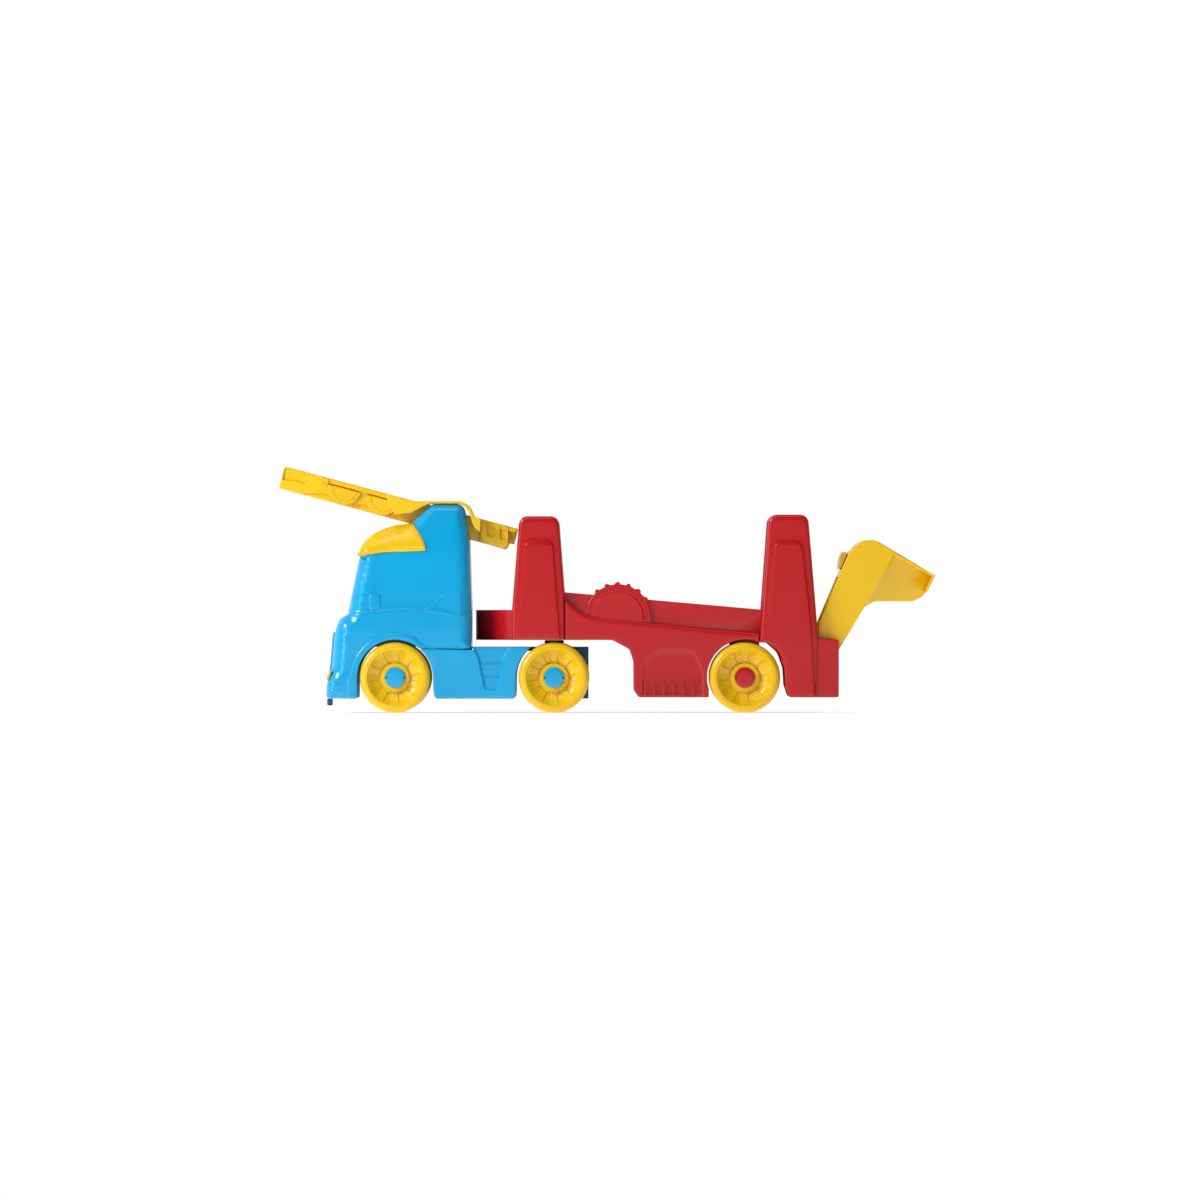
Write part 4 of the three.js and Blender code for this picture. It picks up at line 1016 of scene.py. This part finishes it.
chute_floor = cut(solid_of("top_chute"),
                  cuboid((-beyond, -wall_inner - 0.3, 0), (0, wall_inner + 0.3, beyond)), "INTERSECT")
show("top_chute_floor", eased(chute_floor, 0.5), "yellow_plastic", "loading_chute", ["top_chute"])

saddle_half = 45.6
saddle_corners = [
    (-159.0, 148.7, 2), (-146.5, 150.2, 6), (-139.7, 154.2, 6), (-132.8, 157.3, 5), (-111.8, 157.3, 5),
    (-107.0, 155.2, 4), (-103.4, 150.5, 6), (-101.2, 142.4, 6), (-99.2, 138.6, 4), (-95.2, 135.2, 0.5),
    (-94.6, top_line(-94.6, 0.4), 0.5), (-99.6, 147.4, 3), (-101.2, 151.2, 5), (-103.8, 156.0, 5),
    (-110.0, 158.9, 6), (-144.6, 158.9, 6), (-149.5, top_line(-149.5, 0.2), 2),
    (-166.0, top_line(-166.0, 0.4), 1), (-163.5, top_line(-163.5, 9), 3)]
saddle = side_moulding(saddle_corners, level(saddle_half), level(wall_inner + 1), 0.7, [], 3.0)

# The block behind the column has two slots with round ends in its sides.
block_corners = [
    (-95.4, top_line(-95.4, chute_depth + 0.4), 1.5), (-76.0, top_line(-76.0, chute_depth + 1.0), 3),
    (-73.9, top_line(-73.9, 14), 1), (-73.7, top_line(-73.7, 0.2), 0.6), (-95.4, top_line(-95.4, 0.2), 0.6)]
slot_marks = [
    area([(x0, top_line(x0, 11.4), 1.9), (x1, top_line(x1, 11.4), 1.9), (x1 + 0.6, top_line(x1, 1.4), 0.8),
          (x0 - 0.2, top_line(x0, 1.4), 0.8)], -1.7, 0.4)
    for x0, x1 in ((-90.0, -84.9), (-80.2, -75.4))]
block_half = 34.6
block = side_moulding(block_corners, level(block_half), level(wall_inner + 1), 0.9, slot_marks, 2.0)
for name, mesh in (("wall", chute_wall_mesh), ("saddle", saddle), ("block", block)):
    show_both(f"top_chute_{name}_{{}}", mesh, "yellow_plastic", "loading_chute")

# ------------------------------------------------------------------ half gears of the chute
# Two half gears a side are moulded with the wall that they hang on, below its rail. Each has saw
# teeth round its rim, and a ring stands on its face.
gear_teeth = 15
gear_tip = 13.1
gear_root = 12.0
gear_ring = 9.4
gear_base = 30.2
gear_face = 32.3
for place, centre in (("front", (-197.4, 168.7)), ("rear", (-168.5, 160.9))):
    rim = []
    for k in range(gear_teeth):
        start = 180 - math.degrees(chute_tilt) + 180 * k / gear_teeth
        tooth = ((gear_tip, start, 0.25), (gear_root, start + 175 / gear_teeth, 0))
        for radius, degrees, rounding in tooth:
            turn = math.radians(degrees)
            rim.append((centre[0] + radius * math.cos(turn), centre[1] + radius * math.sin(turn), rounding))
    ring_line = line_mark(arc(centre, gear_ring, 170, 340, 24), 0.6, 0.6)
    half_gear = side_moulding(rim, level(gear_face), level(gear_base - 0.4), 0.4, [ring_line], 1.6)
    show_both(f"chute_gear_{place}_{{}}_moulding", half_gear, "yellow_plastic", "loading_chute",
              f"chute_gear_{place}_{{}}")

# ------------------------------------------------------------------ trailer bed
# The red bed is one moulding, hollow below: a round nose that swings over the tractor's frame,
# two set-back walls round the drum's bay, and sides with a rounded ledge and a deep skirt.
deck_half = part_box("tail_panel_right")[1][1] / MM
side_inner = deck_half - wall
king_x = sum(c[0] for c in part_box("kingpin")) / 2 / MM
tower_front, tower_back = (corner[0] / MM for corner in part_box("front_tower"))
rear_front, rear_back = (corner[0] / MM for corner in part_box("rear_tower"))
deck_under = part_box("front_tower")[0][2] / MM
skirt_reach = 59.85
skirt_front = king_x + skirt_reach
skirt_under = 11.6

bed_core = cut(solid_of("trailer_bed"),
               cuboid((-beyond, -side_inner, -beyond), (beyond, side_inner, beyond)), "INTERSECT")
nose_part = cut(solid_of("trailer_bed"),
                cuboid((-beyond, -beyond, -beyond), (tower_back - 0.5, beyond, beyond)), "INTERSECT")
bed_core = cut(bed_core, nose_part, "UNION")
trailer_arch = arc((axle_trailer, tyre_radius), arch_radius, 198, 67, 24)
ledge_line = [
    (axle_trailer + 11.6, 60.0, 0), (72.7, 63.4, 0), (29.6, 68.0, 0), (8.1, 69.8, 10), (-3.7, 70.9, 8),
    (-15.2, 73.4, 10), (-22, 77.2, 10), (-28.2, 82.6, 6), (tower_back - 0.2, 90.4, 0)]
side_corners = [
    (tower_back - 0.2, deck_under, 0.5), (skirt_front - 16.3, deck_under, 6), (skirt_front - 3.3, 47.8, 6),
    (skirt_front - 0.1, 38.3, 6), (skirt_front, skirt_under + 5.0, 3), (skirt_front + 3.8, skirt_under, 3),
    (axle_trailer - 27, skirt_under, 1), *trailer_arch, *ledge_line]


def side_edge(p):
    """Radius of the bed side's rim: wider along the ledge than on the skirt."""
    return 2.2 if p[1] > 58 else 1.2


skirt_relief = area([(26.8, 5, 0), (72, 5, 0), (72, 30, 0), (66, 44.6, 8), (60.5, 46.2, 6), (39, 46.4, 8),
                     (27.8, 38.2, 8)], -0.9, 0.8)
bed_side = side_moulding(side_corners, level(deck_half), level(side_inner), side_edge, [skirt_relief], 3.0)
show("trailer_bed_moulding", eased(bed_core, 0.7), "red_plastic", "trailer", ["trailer_bed"])
show_both("bed_side_{}_moulding", bed_side, "red_plastic", "trailer")

# ------------------------------------------------------------------ ledge gears
# A half gear of the same red ABS stands on each ledge, a moulding of its own set against the
# bed's side: a flat disc with six round knobs on its rim, a raised middle and a groove round it.
gear_x, gear_z = 8.25, 71.9
gear_outer, gear_inner = 54.7, 52.2
knob = 1.9
knob_ring = 25.1
disc = 24.6
knobs = 6
first_knob = 129
knob_pitch = 19.24
knob_turns = [first_knob - knob_pitch * k for k in range(knobs)]
gear_rim = [(gear_x - disc, 68.4, 0), (gear_x + disc, 66.6, 0)]
for turn in np.arange(-8, 184, 3.0):
    near = min(knob_turns, key=lambda t: abs(t - turn))
    away = math.radians(abs(near - turn)) * knob_ring
    lift = math.sqrt(max(0.0, knob ** 2 - away ** 2)) if away < knob else 0.0
    c, s = math.cos(math.radians(turn)), math.sin(math.radians(turn))
    if gear_z + disc * s > 70.5:
        gear_rim.append((gear_x + (disc + lift) * c, gear_z + (disc + lift) * s, 0.3))
gear_marks = [area(arc((gear_x, gear_z), 19.0, -25, 205, 60), 0.9, 0.45),
              line_mark(arc((gear_x, gear_z), 22.0, -10, 190, 60), -0.4, 0.5)]
ledge_gear = side_moulding(gear_rim, level(gear_outer), level(gear_inner), 0.7, gear_marks, 2.2)
show_both("ledge_gear_{}_moulding", ledge_gear, "red_plastic", "trailer", "ledge_gear_{}")

# ------------------------------------------------------------------ skirt fins, kingpin
# Six thin fins stand on each skirt. The kingpin is a boss of the same red ABS under the round
# nose, on which the trailer turns.
for node, radius in (("skirt_fins_left", 0.35), ("skirt_fins_right", 0.35), ("kingpin", 0.6)):
    show_eased(node, radius)

# ------------------------------------------------------------------ towers
# Each tower is a red moulding astride the bed: two broad legs, a bridge across their tops, and
# a bulkhead with a hole for the drum's neck. A long panel stands proud on each leg.
tower_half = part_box("front_tower")[1][1] / MM
tower_depth = 9.0
front_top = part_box("front_tower")[1][2] / MM
rear_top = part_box("rear_tower")[1][2] / MM
front_leg_corners = [
    (tower_front, deck_under, 0.8), (tower_back, deck_under, 0.8), (tower_back, 90.8, 20),
    (tower_back - 4.3, front_top, 6.5), (tower_front + 5.6, front_top, 6.5), (tower_front, 77.4, 20)]
front_panel_mark = area([
    (tower_front + 4.1, 50, 0), (tower_back - 3.0, 50, 0), (tower_back - 9.1, 128.7, 4.5),
    (tower_front + 10.3, 128.7, 4.5)], 1.4, 0.5)
rear_leg_corners = [
    (136.6, skirt_under, 2), (rear_back - 1.9, skirt_under, 1.2), (rear_back, 58.7, 30),
    (rear_back - 7.4, rear_top, 6.5), (rear_front + 6.9, rear_top, 6.5), (rear_front, 52.8, 1),
    (rear_front + 5.7, 52.6, 2), (128.7, 45, 10), (132.9, 33.4, 10), (133.6, 20.8, 6)]
rear_panel_mark = area([
    (137.5, 5, 0), (156.0, 5, 0), (152.9, 65.2, 20), (146.0, 128.1, 4.5), (126.1, 128.1, 4.5),
    (120.0, 50, 0), (126, 50, 0), (134.6, 36, 0)], 1.4, 0.5)


def tower_face(top):
    """A leg's outer face, drafted by half a degree towards its top."""
    return lambda plan: tower_half - 1.45 - 0.6 * np.clip((plan[:, 1] - 60) / (top - 60), 0, 1)


def tower_edge(top):
    """Radius of a leg's rim, widest round its top."""
    return lambda p: 3.0 if p[1] > top - 8 else 2.4 if p[1] > 58 else 1.4


for node, corners, mark, top in (("front_tower", front_leg_corners, front_panel_mark, front_top),
                                 ("rear_tower", rear_leg_corners, rear_panel_mark, rear_top)):
    leg = side_moulding(corners, tower_face(top), level(tower_half - tower_depth - 0.3), tower_edge(top),
                        [mark], 3.0, 0.6)
    leg = cut(leg, cut(solid_of("trailer_bed"), bed_side, "UNION"))
    core = cut(solid_of(node), cuboid((-beyond, -tower_half + tower_depth + 0.1, -beyond),
                                      (beyond, tower_half - tower_depth - 0.1, beyond)), "INTERSECT")
    core = cut(core, slab(corners, -tower_half, tower_half), "INTERSECT")
    show(f"{node}_core", eased(core, 0.8), "red_plastic", "trailer", [node])
    show_both(f"{node}_leg_{{}}", leg, "red_plastic", "trailer")

# ------------------------------------------------------------------ tail panels
# Two flat red panels behind the rear legs take the ends of the chute's hinge pin, and a wall
# between them stiffens the tail. All of them clip up into the bed.
for node, radius in (("tail_crosswall", 0.4), ("hinge_pin", 0.5)):
    show_eased(node, radius)
panel_inner, panel_outer = (corner[1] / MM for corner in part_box("tail_panel_right"))
tail_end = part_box("tail_panel_right")[1][0] / MM
tail_panel = side_moulding(
    [(137, skirt_under, 1), (tail_end, skirt_under, 1.5), (tail_end, 55.0, 2), (156, 57.0, 1),
     (150.5, 56.0, 0), (150.5, 54.4, 0), (133, 54.4, 0), (134.9, 33.4, 6)],
    level(panel_outer), level(panel_inner), 1.0, [], 3.4)
show_both("tail_panel_{}_moulding", tail_panel, "red_plastic", "trailer", "tail_panel_{}")

# ------------------------------------------------------------------ discharge chute
# One yellow ABS moulding with a hub each side, an open trough and a spout whose walls are set
# in. Its latch bar, with a thumb knob, is clipped along the upper edge.
spout_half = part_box("discharge_chute")[1][1] / MM
pivot_x, pivot_z = (sum(corner[i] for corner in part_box("hinge_pin")) / 2 / MM for i in (0, 2))
spout_corners = [
    (pivot_x - 7.2, pivot_z - 3.0, 4), (pivot_x + 4.0, pivot_z - 6.0, 5), (pivot_x + 10.2, pivot_z + 4.6, 3),
    (pivot_x + 29.6, pivot_z + 36.6, 5), (pivot_x + 37, pivot_z + 40.2, 5),
    (pivot_x + 65.6, pivot_z + 40.2, 6), (pivot_x + 72.5, pivot_z + 43.6, 5),
    (pivot_x + 76.5, pivot_z + 48.6, 3), (pivot_x + 82.3, pivot_z + 59.6, 0.8),
    (pivot_x + 40.2, pivot_z + 84.7, 4), (pivot_x + 35.7, pivot_z + 86.2, 4),
    (pivot_x + 29, pivot_z + 86.0, 4), (pivot_x + 24, pivot_z + 83.6, 4),
    (pivot_x + 18.0, pivot_z + 77.5, 2), (pivot_x + 10.5, pivot_z + 61.5, 10),
    (pivot_x - 5.6, pivot_z + 23.4, 2)]
bend = np.array([(pivot_x + 30.6, pivot_z + 38.9), (pivot_x + 52.5, pivot_z + 76.4)])
bend_way = (bend[1] - bend[0]) / np.linalg.norm(bend[1] - bend[0])
mouth_way = np.array([bend_way[1], -bend_way[0]])
spout_step = 2.4
spout_taper = 0.42
sheet = 2.2
pin_hole = 3.3


def spout_face(plan):
    """The trough's sides are flat; past the bend they step in and then taper to the mouth."""
    past = (plan - bend[0]) @ mouth_way
    return spout_half - spout_step * eased_step(past / 0.5) - spout_taper * np.clip(past, 0, None)


spout_side = side_moulding(spout_corners, spout_face, lambda plan: spout_face(plan) - sheet, 0.9, [], 2.2)
pin_drill = lathe([(0, 30), (pin_hole, 30), (pin_hole, 60), (0, 60)], (pivot_x, 0, pivot_z), "Y", 32)
spout_side = cut(spout_side, pin_drill)
spout_core = cut(solid_of("discharge_chute"), cuboid((0, -spout_half + sheet - 0.1, 0),
                                                     (beyond, spout_half - sheet + 0.1, beyond)), "INTERSECT")
reach = 60
for side in (1, -1):
    wedge_points = []
    for y_out in (False, True):
        for past in (0.4, reach):
            for along in (-reach, reach * 2):
                x, z = bend[0] + bend_way * along + mouth_way * past
                y = 90 if y_out else spout_half - spout_step - spout_taper * past - sheet + 0.2
                wedge_points.append((x, side * y, z))
    wedge_faces = [(0, 1, 3, 2), (4, 6, 7, 5), (0, 4, 5, 1), (2, 3, 7, 6), (0, 2, 6, 4), (1, 5, 7, 3)]
    spout_core = cut(spout_core, mesh_from(wedge_points, wedge_faces))
spout_rim = slab([
    (*(bend[1] + (-2.0, -0.6)), 0), (*(bend[1] + (-1.2, -2.2)), 0), (pivot_x + 79.6, pivot_z + 59.0, 0),
    (pivot_x + 74.4, pivot_z + 47.6, 0), (pivot_x + 75.6, pivot_z + 46.6, 0),
    (pivot_x + 82.2, pivot_z + 59.6, 0), (*bend[1], 0)], -spout_half + 0.2, spout_half - 0.2)
show("discharge_chute_rim", eased(spout_rim, 0.3), "yellow_plastic", "tail_chute")
show("discharge_chute_core", eased(spout_core, 0.6), "yellow_plastic", "tail_chute", ["discharge_chute"])
show_both("discharge_chute_side_{}", spout_side, "yellow_plastic", "tail_chute")
show_eased("chute_latch", 0.5)
